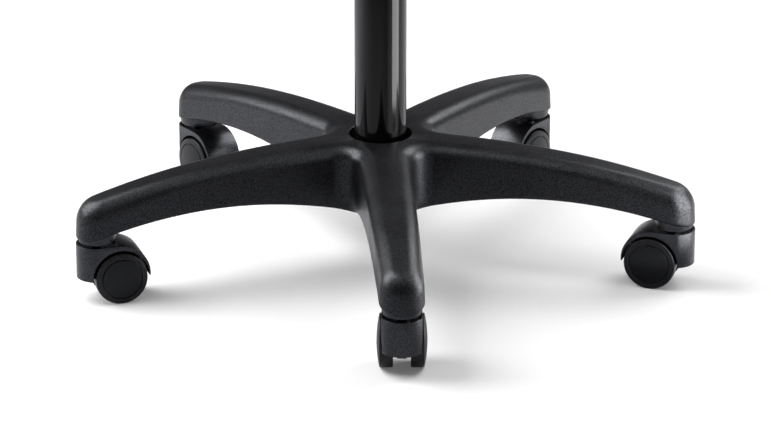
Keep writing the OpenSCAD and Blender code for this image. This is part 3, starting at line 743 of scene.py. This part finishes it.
@dataclass
class StarBase:
    """The nylon star: five arched arms round a hub, hollow and ribbed below.

    Sizes are in millimetres.
    """

    stem_circle: float = 288.9
    hub_top: float = 128.5
    arm_end_top: float = 101.6
    drop_cubed: float = 0.46
    hub_flat: float = 30.0
    crown_z: float = 82.3
    crown_r: float = 175.0
    end_foot_z: float = 67.6
    root_foot_z: float = 62.8
    root_half: float = 25.3
    end_half: float = 20.6
    end_inset: float = 1.6
    draft: float = 2.0
    edge: Point = (14.6, 12.9)
    end_edge: Point = (15.4, 18.4)
    blend: float = 90.0
    fillet: float = 20.0
    rim_round: float = 2.4
    wall: float = 3.5
    roof: float = 4.0
    rib: float = 2.6
    rib_angle: float = 52.0
    rib_pitch: float = 44.0
    hollow_start: float = 53.0
    end_block: float = 25.0
    hub_foot_z: float = 60.8
    hub_foot_r: float = 47.5
    pocket_r: float = 43.5
    socket_r: float = 31.4
    mouth_r: float = 30.4
    mouth_floor: float = 112.0
    mouth_lip: float = 0.9
    tube_r: float = 25.0
    taper: float = 1.43
    pocket_top: float = 106.0
    ring_h: float = 9.0
    collar_r: float = 18.2
    collar_top: float = 74.2
    stem_bore_r: float = 8.5
    stem_bore_top: float = 85.2
    flank_steps: int = 44
    cap_steps: int = 28
    fillet_steps: int = 12
    lip_steps: int = 4
    wall_steps: int = 6
    edge_steps: int = 12
    hollow_steps: int = 30
    roof_steps: int = 8
    roof_edge_share: float = 0.8
    hollow_edge: float = 1.0
    socket_gap: float = 0.25
    socket_foot: float = 55.0
    foot_round: float = 1.5
    # How far cutting shapes reach past what they cut
    past: float = 1.0
    hollow_past: float = 4.0
    below: float = 5.0
    above: float = 9.0
    through: float = 20.0

    def top(self, r: float) -> float:
        """Height of an arm's top.

        Args:
            r: the radius from the hub's middle.

        Returns:
            The height.
        """
        q = max(0.0, (r - self.hub_flat) / (self.stem_circle - self.hub_flat))
        drop = (1 - self.drop_cubed) * q ** 2 + self.drop_cubed * q ** 3
        return self.hub_top - (self.hub_top - self.arm_end_top) * drop

    def foot(self, r: float) -> float:
        """Height of an arm's lower edge.

        Args:
            r: the radius from the hub's middle.

        Returns:
            The height.
        """
        if r < self.crown_r:
            far, low = self.hub_foot_r, self.root_foot_z
        else:
            far, low = self.stem_circle, self.end_foot_z
        return self.crown_z - (self.crown_z - low) * ((r - self.crown_r) / (far - self.crown_r)) ** 2

    def half(self, r: float) -> float:
        """Half width of an arm at its shoulder."""
        return self.end_half + (self.root_half - self.end_half) * (self.stem_circle - r) / self.stem_circle

    def rounding(self, r: float) -> Point:
        """The rounding of the top edge, which grows towards the arm's end.

        Args:
            r: the radius from the hub's middle.

        Returns:
            Its width and drop.
        """
        t = max(0.0, min(1.0, (r - self.stem_circle + self.blend) / self.blend))
        t = t * t * (3 - 2 * t)
        return (self.edge[0] + (self.end_edge[0] - self.edge[0]) * t,
                self.edge[1] + (self.end_edge[1] - self.edge[1]) * t)

    def shoulder(self) -> list[tuple[float, float, float, float, float]]:
        """The shoulder line of the arm along +X, from the gap on its right to the gap on its left.

        Returns:
            (x, y, inward x, inward y, radius on the arm's middle line) of each point.
        """
        half_step = math.radians(ARM_STEP / 2)
        centre = (self.half(self.hub_foot_r) + self.fillet) / math.sin(half_step)
        start = centre * math.cos(half_step)
        cap = self.stem_circle - self.end_inset
        first = []
        for i in range(self.fillet_steps + 1):
            a = half_step + (math.pi / 2 - half_step) * i / self.fillet_steps
            x, y = start - self.fillet * math.cos(a), self.fillet * math.sin(a) - centre * math.sin(half_step)
            first.append((x, y, -math.cos(a), math.sin(a), 0.0))
        for i in range(1, self.flank_steps):
            r = start + (cap - start) * i / self.flank_steps
            first.append((r, -self.half(r), 0.0, 1.0, r))
        end = []
        for i in range(self.cap_steps + 1):
            a = -math.pi / 2 + math.pi * i / self.cap_steps
            x, y = cap + self.end_half * math.cos(a), self.end_half * math.sin(a)
            end.append((x, y, -math.cos(a), -math.sin(a), cap))
        back = [(x, -y, ix, -iy, spine) for x, y, ix, iy, spine in reversed(first)]
        return first + end + back[:-1]

    def section(self, station: tuple[float, float, float, float, float]) -> list[tuple[float, float, float]]:
        """The skin's points at one station, from under the arm's middle round the wall to its top's middle.

        Args:
            station: a point of the shoulder line.

        Returns:
            The points, in the arm's own place.
        """
        x, y, ix, iy, spine = station
        r = math.hypot(x, y)
        w, h = self.rounding(r)
        low, high = self.foot(r), self.top(r) - h
        lean = (high - low) * math.tan(math.radians(self.draft))
        spot = (spine, 0.0) if spine else (0.0, 0.0)
        under = self.foot(spine or self.hub_foot_r)
        points = [(*spot, under)]
        for i in range(self.lip_steps + 1):
            a = math.pi / 2 * i / self.lip_steps
            inset = self.rim_round * (1 - math.sin(a)) - lean
            points.append((x + ix * inset, y + iy * inset, low + self.rim_round * (1 - math.cos(a))))
        for i in range(1, self.wall_steps + 1):
            t = i / self.wall_steps
            out = lean * (1 - t)
            z = low + self.rim_round + (high - low - self.rim_round) * t
            points.append((x - ix * out, y - iy * out, z))
        for i in range(1, self.edge_steps + 1):
            a = math.pi / 2 * i / self.edge_steps
            px, py = x + ix * w * (1 - math.cos(a)), y + iy * w * (1 - math.cos(a))
            points.append((px, py, self.top(math.hypot(px, py)) - h * (1 - math.sin(a))))
        points.append((*spot, self.top(spine)))
        return points

    def form(self) -> bpy.types.Object:
        """Shapes the star's whole outer form.

        Returns:
            One closed skin.
        """
        sections: list[list[Vector]] = []
        for k in range(ARMS):
            turn = arm_matrix(k)
            for station in self.shoulder():
                sections.append([turn @ Vector(p) for p in self.section(station)])
        count, rows = len(sections), len(sections[0]) - 1
        return skin("star_base_moulding", count, rows, lambda i, j: tuple(sections[i % count][j]))

    def hollow(self) -> bpy.types.Object:
        """Shapes the ribbed hollow under the arm along +X.

        Returns:
            The cutting tool.
        """
        end = self.stem_circle - self.end_block
        count = self.hollow_steps
        rings: list[list[tuple[float, float, float]]] = []
        for i in range(count + 1):
            r = self.hollow_start + (end - self.hollow_start) * i / count
            w, h = self.rounding(r)
            half, roof = self.half(r) - self.wall, self.top(r) - self.roof
            low = self.foot(r) - self.hollow_past
            side = roof - h + self.hollow_edge
            lean = (side - low) * math.tan(math.radians(self.draft))
            shape = [(-half - lean, low), (-half, side)]
            inner = w * self.roof_edge_share
            for k in range(1, self.roof_steps + 1):
                a = math.pi / 2 * k / self.roof_steps
                drop = (h - self.hollow_edge) * (1 - math.sin(a))
                shape.append((-half + inner * (1 - math.cos(a)), roof - drop))
            shape += [(-y, z) for y, z in reversed(shape)]
            rings.append([(r, y, z) for y, z in shape])
        middle = [(ring[0][0], 0.0, self.top(ring[0][0]) - self.through) for ring in (rings[0], rings[-1])]
        around = len(rings[0])
        rings = [[middle[0]] * around] + rings + [[middle[1]] * around]
        tool = skin("hollow", around, len(rings) - 1, lambda i, j: rings[j][i % around])
        reach = 2 * self.root_half / math.sin(math.radians(self.rib_angle))
        first, over = self.hollow_start + self.rib_pitch / 2, self.hub_top + self.through
        for i in range(int((end - self.hollow_start) // self.rib_pitch)):
            for turn in (-1, 1):
                rib = block("rib", (-reach, -self.rib / 2, 0), (reach, self.rib / 2, over))
                carve(tool, turned(rib, turn * self.rib_angle, first + i * self.rib_pitch))
        return tool

    def hub_pocket(self) -> bpy.types.Object:
        """Shapes the ring-shaped pocket round the column's socket, with its radial ribs left standing.

        Returns:
            The cutting tool.
        """
        foot = self.hub_foot_z - self.past
        tool = lathe("pocket", [(self.socket_r, foot), (self.pocket_r, foot), (self.pocket_r, self.pocket_top),
                                (self.socket_r, self.pocket_top)])
        for i in range(2 * ARMS):
            rib = block("rib", (self.socket_r - self.past, -self.rib / 2, self.hub_foot_z + self.ring_h),
                        (self.pocket_r + self.past, self.rib / 2, self.hub_top))
            carve(tool, turned(rib, (i + 0.5) * 180 / ARMS))
        return tool

    def mouth(self) -> bpy.types.Object:
        """Shapes the round opening with its eased lip, and the column's tapered socket.

        Returns:
            The cutting tool.
        """
        lip = arc(self.mouth_r + self.mouth_lip, self.hub_top - self.mouth_lip, self.mouth_lip, 180, 90, 5)
        foot, over = self.hub_foot_z - self.below, self.hub_top + self.above
        narrow = self.tube_r - (self.mouth_floor - foot) * math.tan(math.radians(self.taper))
        outline = [(0, foot), (narrow, foot), (self.tube_r, self.mouth_floor), (self.mouth_r, self.mouth_floor),
                   *lip, (self.mouth_r + self.mouth_lip, over), (0, over)]
        return lathe("mouth", outline, FINE_ROUND)

    def stem_socket(self) -> bpy.types.Object:
        """Shapes the stepped socket for a collar, with a shadow gap round it.

        Returns:
            The cutting tool.
        """
        r = self.collar_r + self.socket_gap
        outline = [(0, self.socket_foot), (r, self.socket_foot), (r, self.collar_top),
                   (self.stem_bore_r, self.collar_top), (self.stem_bore_r, self.stem_bore_top),
                   (0, self.stem_bore_top)]
        return lathe("stem_socket", outline, SOCKET_ROUND)

    def build(self, finishes: Finishes) -> None:
        """Makes the star and dresses it.

        Args:
            finishes: the object's finishes.
        """
        star = self.form()
        core = eased([(0, self.hub_foot_z, 0), (self.hub_foot_r, self.hub_foot_z, self.foot_round),
                      (self.hub_foot_r, self.mouth_floor, 0), (0, self.mouth_floor, 0)])
        carve(star, lathe("hub_core", core, FINE_ROUND), Cut.TOGETHER)
        hollow, socket = self.hollow(), self.stem_socket()
        for k in range(ARMS):
            carve(star, copied(hollow, "tool", arm_matrix(k)))
            out = Matrix.Translation((self.stem_circle * MM, 0, 0))
            carve(star, copied(socket, "tool", arm_matrix(k) @ out))
        discard(hollow, socket)
        carve(star, self.hub_pocket())
        carve(star, self.mouth())
        smooth(star, 30)
        finish_piece(star, finishes.star, "base", "star", "star_base")


@dataclass
class Collars:
    """The stepped collars let into the arms' ends round the castor stems. Sizes are in millimetres."""

    stem_circle: float = 288.9
    foot_z: float = 59.2
    step: float = 3.0
    lower_r: float = 17.3
    upper_r: float = 18.2
    seat_z: float = 74.2
    sleeve_r: float = 8.5
    top_z: float = 85.2
    bore_r: float = 5.5

    def build(self, finishes: Finishes) -> None:
        """Makes the five collars as one piece and dresses it.

        Args:
            finishes: the object's finishes.
        """
        z = self.foot_z + self.step
        outline = eased([(self.bore_r, self.foot_z, 0.3), (self.lower_r, self.foot_z, 0.7),
                         (self.lower_r, z, 0.35), (self.upper_r, z, 0.6), (self.upper_r, self.seat_z, 0.3),
                         (self.sleeve_r, self.seat_z, 0), (self.sleeve_r, self.top_z, 0.5),
                         (self.bore_r, self.top_z, 0.3)])
        one = lathe("collar", outline)
        out = Matrix.Translation((self.stem_circle * MM, 0, 0))
        collars = [copied(one, "collar", arm_matrix(k) @ out) for k in range(ARMS)]
        discard(one)
        whole = joined("socket_collars_moulded", collars)
        smooth(whole)
        finish_piece(whole, finishes.collar, "base", "collar", "socket_collars")


@dataclass
class Castor:
    """A hooded twin-wheel castor, made once with its stem on the Z axis and its wheels towards +X.

    Sizes are in millimetres.
    """

    stem_circle: float = 288.9
    swing: float = -4.3
    trail: float = 18.8
    axle_z: float = 25.0
    wheel_r: float = 25.0
    arch_r: float = 27.5
    width: float = 37.2
    post_r: float = 20.0
    post_foot: float = 23.5
    top_z: float = 57.2
    hood_r: float = 29.4
    hood_x: float = 17.9
    recess_r: float = 17.6
    recess_z: float = 54.2
    boss_r: float = 7.7
    boss_foot: float = 27.5
    bore_r: float = 5.45
    clip_r: float = 7.3
    clip_foot: float = 23.7
    web: float = 8.0
    web_end: float = 30.0
    axle_r: float = 3.0
    axle_boss_r: float = 7.0
    rounding: float = 1.3
    wheel_in: float = 8.15
    wheel_out: float = 20.55
    dome: float = 2.8
    disc_r: float = 19.4
    groove: float = 0.35
    groove_gap: float = 0.4
    groove_deep: float = 1.6
    axle_cover: float = 1.6
    tread_edge: float = 1.2
    side_gap: float = 0.3
    recess_lip: float = 0.4
    tip_share: float = 0.34
    least_share: float = 0.12
    # How far shapes reach past or into what they cut or join, and the reach of the plan's cutting shape
    past: float = 1.0
    plan_reach: float = 60.0
    plan_height: float = 80.0
    web_inset: float = 3.5
    web_rise: float = 0.5
    disc_thick: float = 3.0
    rim_wall: float = 2.6
    rim_inset: float = 0.5
    hub_tube_r: float = 6.4
    axle_gap: float = 0.05
    dome_steps: int = 14
    tread_steps: int = 6
    tread_shoulder: float = 0.2
    # A face of the body looks at the axle if its normal has this much of the spoke, or less, and it is no
    # farther out than the arch and its slack
    facing: float = -0.7
    arch_slack: float = 0.1

    def place(self, k: int) -> Matrix:
        """Where castor number k stands."""
        return (arm_matrix(k) @ Matrix.Translation((self.stem_circle * MM, 0, 0))
                @ Matrix.Rotation(math.radians(180 + self.swing), 4, "Z"))

    def wheel_place(self, side: Side) -> Matrix:
        """Turns a wheel, made with its outer face up, onto its side of the axle."""
        angle = -90 if side is Side.LEFT else 90
        return (Matrix.Translation((self.trail * MM, 0, self.axle_z * MM))
                @ Matrix.Rotation(math.radians(angle), 4, "X"))

    def side_outline(self) -> list[Point]:
        """Draws the body's side view: post, hood and the arch over the wheels.

        Returns:
            The outline's points.
        """
        hood_z = self.top_z - self.hood_r
        drop = math.degrees(math.asin((self.axle_z - hood_z) / self.hood_r))
        foot = 180 + math.degrees(math.asin((self.axle_z - self.post_foot) / self.arch_r))
        front = -self.post_r - self.past
        points = [(front, self.post_foot), (front, self.top_z)]
        points += arc(self.hood_x, hood_z, self.hood_r, 90, drop, 40)
        points += arc(self.trail, self.axle_z, self.arch_r, 0, foot, 72)
        return points

    def plan_outline(self) -> list[Point]:
        """Draws the body's plan: a round front between flat sides.

        Returns:
            The outline's points.
        """
        half = self.width / 2
        edge = math.degrees(math.asin(half / self.post_r))
        front = arc(0, 0, self.post_r, 180 - edge, 180 + edge, 48)
        return [*front, (self.plan_reach, -half), (self.plan_reach, half)]

    def edge_share(self, middle: Vector) -> float:
        """How much of the rounding an edge gets, less where the hood thins to its tip.

        Args:
            middle: the edge's middle in millimetres.

        Returns:
            The share, from least_share to 1.
        """
        dx, dz = middle.x - self.trail, middle.z - self.axle_z
        if dx < 0:
            return 1.0
        hood_z = self.top_z - self.hood_r
        angle = math.atan2(dz, dx)
        away = Vector((self.hood_x - self.trail, hood_z - self.axle_z))
        along = away.x * math.cos(angle) + away.y * math.sin(angle)
        outer = along + math.sqrt(max(0.0, along ** 2 - away.length_squared + self.hood_r ** 2))
        return max(self.least_share, min(1.0, (outer - self.arch_r) * self.tip_share / self.rounding))

    def body(self) -> bpy.types.Object:
        """Shapes the hooded body with its stem boss, web and axle boss.

        Returns:
            The body.
        """
        body = prism("castor_body", self.side_outline(), self.width + 2 * self.past)
        plan = prism("plan", self.plan_outline(), self.plan_height, upright=True)
        carve(body, plan, Cut.OVERLAP)
        soften(body, self.rounding, sharp=34, share=self.edge_share)
        lip_r = self.recess_r + self.recess_lip
        lip = arc(lip_r, self.top_z - self.recess_lip, self.recess_lip, 180, 90, 3)
        over = self.top_z + 3 * self.past
        recess = [(self.boss_r, self.recess_z), (self.recess_r, self.recess_z), *lip, (lip_r, over),
                  (self.boss_r, over)]
        carve(body, lathe("recess", recess))
        boss_top = self.recess_z + self.past
        boss = eased([(0, self.boss_foot, 0), (self.boss_r, self.boss_foot, 0.4), (self.boss_r, boss_top, 0),
                      (0, boss_top, 0)])
        carve(body, lathe("boss", boss, SMALL_ROUND), Cut.TOGETHER)
        half = self.wheel_in - self.side_gap
        round_end = eased([(0, -half, 0), (self.axle_boss_r, -half, 0.4), (self.axle_boss_r, half, 0.4),
                           (0, half, 0)])
        axle_boss = lathe("axle_boss", round_end, SMALL_ROUND)
        axle_boss.data.transform(Matrix.Translation((self.trail * MM, 0, self.axle_z * MM))
                                 @ Matrix.Rotation(math.radians(90), 4, "X"))
        carve(body, axle_boss, Cut.TOGETHER)
        low = self.axle_z - self.axle_boss_r / 2
        web_outline = [(-self.post_r + self.web_inset, low), (self.trail, low)]
        web_outline += arc(self.trail, self.axle_z, self.arch_r + self.web_rise, self.web_end, 180, 40)
        carve(body, prism("web", web_outline, self.web), Cut.TOGETHER)
        bore_top = self.top_z + self.past
        bore = [(0, self.clip_foot), (self.clip_r, self.clip_foot), (self.clip_r, self.boss_foot),
                (self.bore_r, self.boss_foot), (self.bore_r, bore_top), (0, bore_top)]
        carve(body, lathe("bore", bore, SMALL_ROUND))
        smooth(body, 32)
        return body

    def faces_axle(self, face: bpy.types.MeshPolygon) -> bool:
        """Whether a face of the body lies on the inside of the arch over the wheels.

        Args:
            face: the face.

        Returns:
            True if it does.
        """
        spoke = Vector((face.center.x / MM - self.trail, 0, face.center.z / MM - self.axle_z))
        within = self.wheel_r < spoke.length < self.arch_r + self.arch_slack
        return within and face.normal.dot(spoke.normalized()) < self.facing

    def dome_z(self, r: float) -> float:
        """Height of a wheel's domed face above the castor's middle plane."""
        big = (self.wheel_r ** 2 + self.dome ** 2) / (2 * self.dome)
        return self.wheel_out + self.dome - (big - math.sqrt(big ** 2 - r ** 2))

    def disc(self) -> bpy.types.Object:
        """Shapes a wheel's domed disc with its hub tube and rim, outer face up.

        Returns:
            The disc.
        """
        rise, back = self.dome_z(self.disc_r), self.wheel_out - self.disc_thick
        edge, rim, deep = self.disc_r - self.groove_gap, self.disc_r - self.rim_wall, rise - self.groove_deep
        floor, rim_z = self.wheel_out + self.dome - self.axle_cover, self.wheel_in + self.rim_inset
        tube, hole = self.hub_tube_r, self.axle_r + self.axle_gap
        radii = [self.disc_r * i / self.dome_steps for i in range(self.dome_steps)]
        outline = eased([*((r, self.dome_z(r), 0) for r in radii), (edge, rise, self.groove), (edge, deep, 0),
                         (self.disc_r, deep, 0), (self.disc_r, rim_z, 0.3), (rim, rim_z, 0.3), (rim, back, 0),
                         (tube, back, 0), (tube, self.wheel_in, 0.3), (hole, self.wheel_in, 0.3),
                         (hole, floor, 0), (0, floor, 0)], 5)
        piece = lathe("disc", outline)
        smooth(piece, 30)
        return piece

    def tyre(self) -> bpy.types.Object:
        """Shapes a wheel's tread ring, outer face up.

        Returns:
            The ring.
        """
        rise, inner = self.dome_z(self.disc_r), self.disc_r + self.groove_gap
        outer, deep = self.wheel_r - self.tread_edge, rise - self.groove_deep
        brow = outer + self.tread_shoulder
        radii = [outer + (inner - outer) * i / self.tread_steps for i in range(1, self.tread_steps - 1)]
        outline = eased([(self.wheel_r, self.wheel_in, self.tread_edge),
                         (self.wheel_r, self.wheel_out - self.tread_shoulder, 0.7),
                         (brow, self.dome_z(brow), 0.45), *((r, self.dome_z(r), 0) for r in radii),
                         (inner, rise, self.groove), (inner, deep, 0), (self.disc_r, deep, 0),
                         (self.disc_r, self.wheel_in, 0)], 5)
        piece = lathe("tyre", outline)
        smooth(piece, 30)
        return piece

    def build(self, finishes: Finishes) -> None:
        """Makes the five castors and dresses them.

        Args:
            finishes: the object's finishes.
        """
        body, disc, tyre = self.body(), self.disc(), self.tyre()
        # The faces inside the arch, which get the painted shade
        inside = [face.index for face in body.data.polygons if self.faces_axle(face)]
        for k, place in enumerate(PLACES):
            stand = self.place(k)
            hood = copied(body, f"{place}_castor_hood", stand)
            finish_piece(hood, finishes.castor, f"{place}_castor", "castor_body", f"{place}_castor_body")
            # The painted shade's finish is the second slot, for the inside of the arch alone
            hood.data.materials.append(finishes.core)
            for index in inside:
                hood.data.polygons[index].material_index = 1
            for side in Side:
                wheel = f"{place}_{side.value}_wheel"
                cap = copied(disc, f"{wheel}_disc", stand @ self.wheel_place(side))
                finish_piece(cap, finishes.wheel, wheel, "wheel", wheel)
                ring = copied(tyre, f"{place}_{side.value}_tread_ring", stand @ self.wheel_place(side))
                finish_piece(ring, finishes.tread, wheel, "tread", f"{place}_{side.value}_tyre")
        discard(body, disc, tyre)


@dataclass
class Column:
    """The gas lift's outside: tube, pressure cylinder with its seat cone, and release pin.

    Sizes are in millimetres.
    """

    tube_r: float = 25.0
    tube_wall: float = 1.5
    taper: float = 1.43
    straight_z: float = 112.0
    tube_foot: float = 46.8
    tube_top: float = 328.7
    plate_z: float = 48.8
    lip: float = 3.5
    cylinder_r: float = 14.0
    cylinder_wall: float = 1.6
    cylinder_foot: float = 77.7
    cone_z: float = 345.7
    cone_top: float = 390.7
    cap: float = 3.0
    pin_r: float = 3.4
    pin_top: float = 396.7
    pin_foot: float = 369.7
    pin_head_r: float = 4.6
    pin_head: float = 3.0
    pin_gap: float = 0.05
    foot_lip_r: float = 9.2

    def narrowed(self, z: float) -> float:
        """Radius of the tube's tapered end at a height."""
        return self.tube_r - max(0.0, self.straight_z - z) * math.tan(math.radians(self.taper))

    def tube(self) -> bpy.types.Object:
        """Shapes the outer tube with its turned-in foot and eased top edge.

        Returns:
            The tube.
        """
        foot, inside = self.narrowed(self.tube_foot), self.tube_r - self.tube_wall
        outline = eased([(foot - self.lip, self.tube_foot, 0.4), (foot, self.tube_foot, 1.2),
                         (self.tube_r, self.straight_z, 0), (self.tube_r, self.tube_top, 0.5),
                         (inside, self.tube_top, 0.3), (inside, self.straight_z, 0),
                         (self.narrowed(self.plate_z) - self.tube_wall, self.plate_z, 0),
                         (foot - self.lip, self.plate_z, 0)])
        return lathe("column_tube_drawn", outline, TUBE_ROUND)

    def cylinder(self) -> bpy.types.Object:
        """Shapes the pressure cylinder and the cone that takes the seat plate.

        Returns:
            The cylinder.
        """
        cone_r = self.cylinder_r - (self.cone_top - self.cone_z) * math.tan(math.radians(self.taper))
        inside, guide_z = self.cylinder_r - self.cylinder_wall, self.cylinder_foot + self.cylinder_wall
        hole, lip_r, cap_z = self.pin_r + self.pin_gap, self.foot_lip_r, self.cone_top - self.cap
        outline = eased([(lip_r, self.cylinder_foot, 0.2), (self.cylinder_r, self.cylinder_foot, 0.8),
                         (self.cylinder_r, self.cone_z, 0), (cone_r, self.cone_top, 0.9),
                         (hole, self.cone_top, 0.3), (hole, cap_z, 0), (cone_r - self.cylinder_wall, cap_z, 0),
                         (inside, self.cone_z, 0), (inside, guide_z, 0), (lip_r, guide_z, 0)])
        return lathe("pressure_cylinder_drawn", outline, FINE_ROUND)

    def pin(self) -> bpy.types.Object:
        """Shapes the release pin with its eased button end.

        Returns:
            The pin.
        """
        head_z = self.pin_foot + self.pin_head
        outline = eased([(0, self.pin_foot, 0), (self.pin_head_r, self.pin_foot, 0.3),
                         (self.pin_head_r, head_z, 0.2), (self.pin_r, head_z, 0),
                         (self.pin_r, self.pin_top, 1.1), (0, self.pin_top, 0)])
        return lathe("release_pin_turned", outline, SMALL_ROUND)

    def build(self, finishes: Finishes) -> None:
        """Makes the column's outer pieces and dresses them.

        Args:
            finishes: the object's finishes.
        """
        for piece, material, body, slot, node in (
            (self.tube(), finishes.enamel, "base", "black_paint", "column_tube"),
            (self.cylinder(), finishes.enamel, "lift_cylinder", "black_paint", "pressure_cylinder"),
            (self.pin(), finishes.zinc, "release", "steel", "release_pin"),
        ):
            smooth(piece, 25)
            finish_piece(piece, material, body, slot, node)


# Studio


@dataclass(frozen=True)
class SoftBox:
    """A soft lamp aimed at the object.

    Attributes:
        name: the lamp's name.
        azimuth: degrees round from the front, towards the right.
        elevation: degrees above the horizon.
        distance: metres from the target.
        size: width and height in metres.
        watts: its power.
        target: the point in metres that it is aimed at.
        mirrored_only: whether it shows in gloss alone and leaves matt surfaces as they are.
    """

    name: str
    azimuth: float
    elevation: float
    distance: float
    size: Point
    watts: float
    target: tuple[float, float, float] = (0, 0, 0.1)
    mirrored_only: bool = False

    def build(self) -> None:
        """Adds the lamp."""
        a, e = math.radians(self.azimuth), math.radians(self.elevation)
        away = Vector((math.sin(a) * math.cos(e), -math.cos(a) * math.cos(e), math.sin(e)))
        clear_selection()
        bpy.ops.object.light_add(type="AREA", location=Vector(self.target) + away * self.distance)
        lamp = bpy.context.object
        lamp.name = self.name
        lamp.rotation_euler = away.to_track_quat("Z", "Y").to_euler()
        lamp.data.shape = "RECTANGLE"
        lamp.data.size, lamp.data.size_y = self.size
        lamp.data.energy = self.watts
        lamp.visible_diffuse = not self.mirrored_only


@dataclass
class Studio:
    """White floor, soft lamps and the camera.

    The floor's size, distances and heights are in metres, the lens and the sensor in millimetres, and
    angles in degrees.
    """

    floor_size: float = 60.0
    floor_colour: str = "#f0efef"
    # The floor's painted reflection: its shade as gloss alone sees it, by the direction in degrees from the
    # front. These shades stand for white cards and dark flags round the object, and paint brighter and darker
    # reflections into its gloss
    floor_painted_reflection: tuple[tuple[float, str], ...] = (
        (-180, "#c4c4c8"), (-110, "#d8d8dc"), (-70, "#b4b4b8"), (-35, "#a4a4a8"), (-10, "#b0b0b4"),
        (5, "#b0b0b4"), (22, "#909094"), (38, "#f8f8fc"), (50, "#c8c8cc"), (56, "#727276"), (66, "#727276"),
        (76, "#e8e8ec"), (120, "#ffffff"), (180, "#c4c4c8"))
    floor_roughness: float = 0.9
    floor_gloss: float = 0.1
    # How much the floor glows for the camera, over what the lamps give it, and the painted glow that gloss
    # alone sees, which brightens the painted reflection
    floor_lift: float = 0.12
    floor_painted_glow: float = 0.15
    horizon: str = "#d4d4d7"
    ceiling: str = "#58585b"
    # The height, as a share of the room's radius, from which the room has the ceiling's shade
    ceiling_from: float = 0.2
    sensor: float = 36.0
    sight: float = 200.0
    focal: float = 196.87
    eye_distance: float = 4.06171
    target_z: float = 0.127379
    elevation: float = 20.033
    pitch: float = 21.136
    azimuth: float = -3.857
    shift: float = 0.0065

    def floor(self) -> None:
        """Lays the floor, white to the camera, with painted reflection shades by direction that only gloss
        sees.
        """
        clear_selection()
        bpy.ops.mesh.primitive_plane_add(size=self.floor_size)
        sheet = bpy.context.object
        sheet.name = "studio_floor"
        material, tree, shader = new_surface("floor_paper")
        shader.inputs["Roughness"].default_value = self.floor_roughness
        shader.inputs["Specular IOR Level"].default_value = self.floor_gloss
        rays = add_node(tree, "ShaderNodeLightPath")
        place = add_node(tree, "ShaderNodeTexCoord")
        parts = add_node(tree, "ShaderNodeSeparateXYZ", {0: place.outputs["Object"]})
        nearer = add_node(tree, "ShaderNodeMath", {0: parts.outputs[1], 1: -1.0}, operation="MULTIPLY")
        angle = add_node(tree, "ShaderNodeMath", {0: parts.outputs[0], 1: nearer.outputs[0]},
                         operation="ARCTAN2")
        share = add_node(tree, "ShaderNodeMapRange", {0: angle.outputs[0], 1: -math.pi, 2: math.pi})
        # Painted reflection: the shades by direction that gloss rays see on the floor
        sides = add_node(tree, "ShaderNodeValToRGB", {0: share.outputs[0]},
                         stops=[((degrees + 180) / 360, colour) for degrees, colour in self.floor_painted_reflection])
        # Inputs 6 and 7 are the mix's two colours
        shade = add_node(tree, "ShaderNodeMix", {0: rays.outputs["Is Glossy Ray"], 6: linear(self.floor_colour),
                                                 7: sides.outputs[0]}, data_type="RGBA")
        tree.links.new(shade.outputs[2], shader.inputs["Base Color"])
        # Painted reflection: a glow in the floor's shades that only gloss rays see
        shine = add_node(tree, "ShaderNodeMath", {0: rays.outputs["Is Glossy Ray"], 1: self.floor_painted_glow},
                         operation="MULTIPLY")
        glow = add_node(tree, "ShaderNodeMath", {0: rays.outputs["Is Camera Ray"], 1: self.floor_lift,
                                                 2: shine.outputs[0]}, operation="MULTIPLY_ADD")
        tree.links.new(shade.outputs[2], shader.inputs["Emission Color"])
        tree.links.new(glow.outputs[0], shader.inputs["Emission Strength"])
        sheet.data.materials.append(material)
        sheet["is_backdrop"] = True

    def world(self) -> None:
        """Fills the room with a dim light that is brighter near the horizon."""
        world = bpy.data.worlds.new("studio_room")
        bpy.context.scene.world = world
        world.use_nodes = True
        tree = world.node_tree
        place = add_node(tree, "ShaderNodeTexCoord")
        height = add_node(tree, "ShaderNodeSeparateXYZ", {0: place.outputs["Generated"]})
        shade = add_node(tree, "ShaderNodeValToRGB", {0: height.outputs[2]},
                         stops=((0.0, self.horizon), (self.ceiling_from, self.ceiling)))
        tree.links.new(shade.outputs[0], tree.nodes["Background"].inputs["Color"])

    def camera(self) -> None:
        """Sets the camera where the photograph was taken from."""
        a, e = math.radians(self.azimuth), math.radians(self.elevation)
        away = Vector((math.sin(a) * math.cos(e), -math.cos(a) * math.cos(e), math.sin(e)))
        clear_selection()
        bpy.ops.object.camera_add(location=Vector((0, 0, self.target_z)) + away * self.eye_distance)
        camera = bpy.context.object
        camera.name = "studio_camera"
        camera.rotation_euler = (math.radians(90 - self.pitch), 0, a)
        camera.data.sensor_width = self.sensor
        camera.data.lens = self.focal
        camera.data.shift_x = self.shift
        camera.data.clip_end = self.sight
        bpy.context.scene.camera = camera

    def build(self) -> None:
        """Sets up the whole studio."""
        bpy.context.scene.view_settings.view_transform = "Standard"
        self.floor()
        self.world()
        for lamp in (
            SoftBox("left_key", azimuth=-101, elevation=42, distance=1.6, size=(1.2, 1.7), watts=41),
            SoftBox("right_key", azimuth=120, elevation=40, distance=1.7, size=(1.2, 1.0), watts=18),
            SoftBox("top_front", azimuth=0, elevation=70, distance=1.8, size=(2.4, 1.6), watts=8),
            # Draws the bright line down the column's right side
            SoftBox("right_strip", azimuth=64, elevation=0, distance=0.47, size=(0.28, 0.44), watts=3.4,
                    target=(0, 0, 0.23), mirrored_only=True),
        ):
            lamp.build()
        self.camera()


def corners() -> list[list[float]]:
    """The shown object's lowest and highest corner as plain lists."""
    return [[float(v) for v in corner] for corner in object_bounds()]


def main() -> None:
    """Builds every piece in order."""
    logging.basicConfig(level=logging.INFO, format="%(message)s")
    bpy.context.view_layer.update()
    finishes = Finishes()
    finishes.dress_frame()
    StarBase().build(finishes)
    Collars().build(finishes)
    Castor().build(finishes)
    Column().build(finishes)
    Studio().build()


if __name__ == "__main__":
    main()
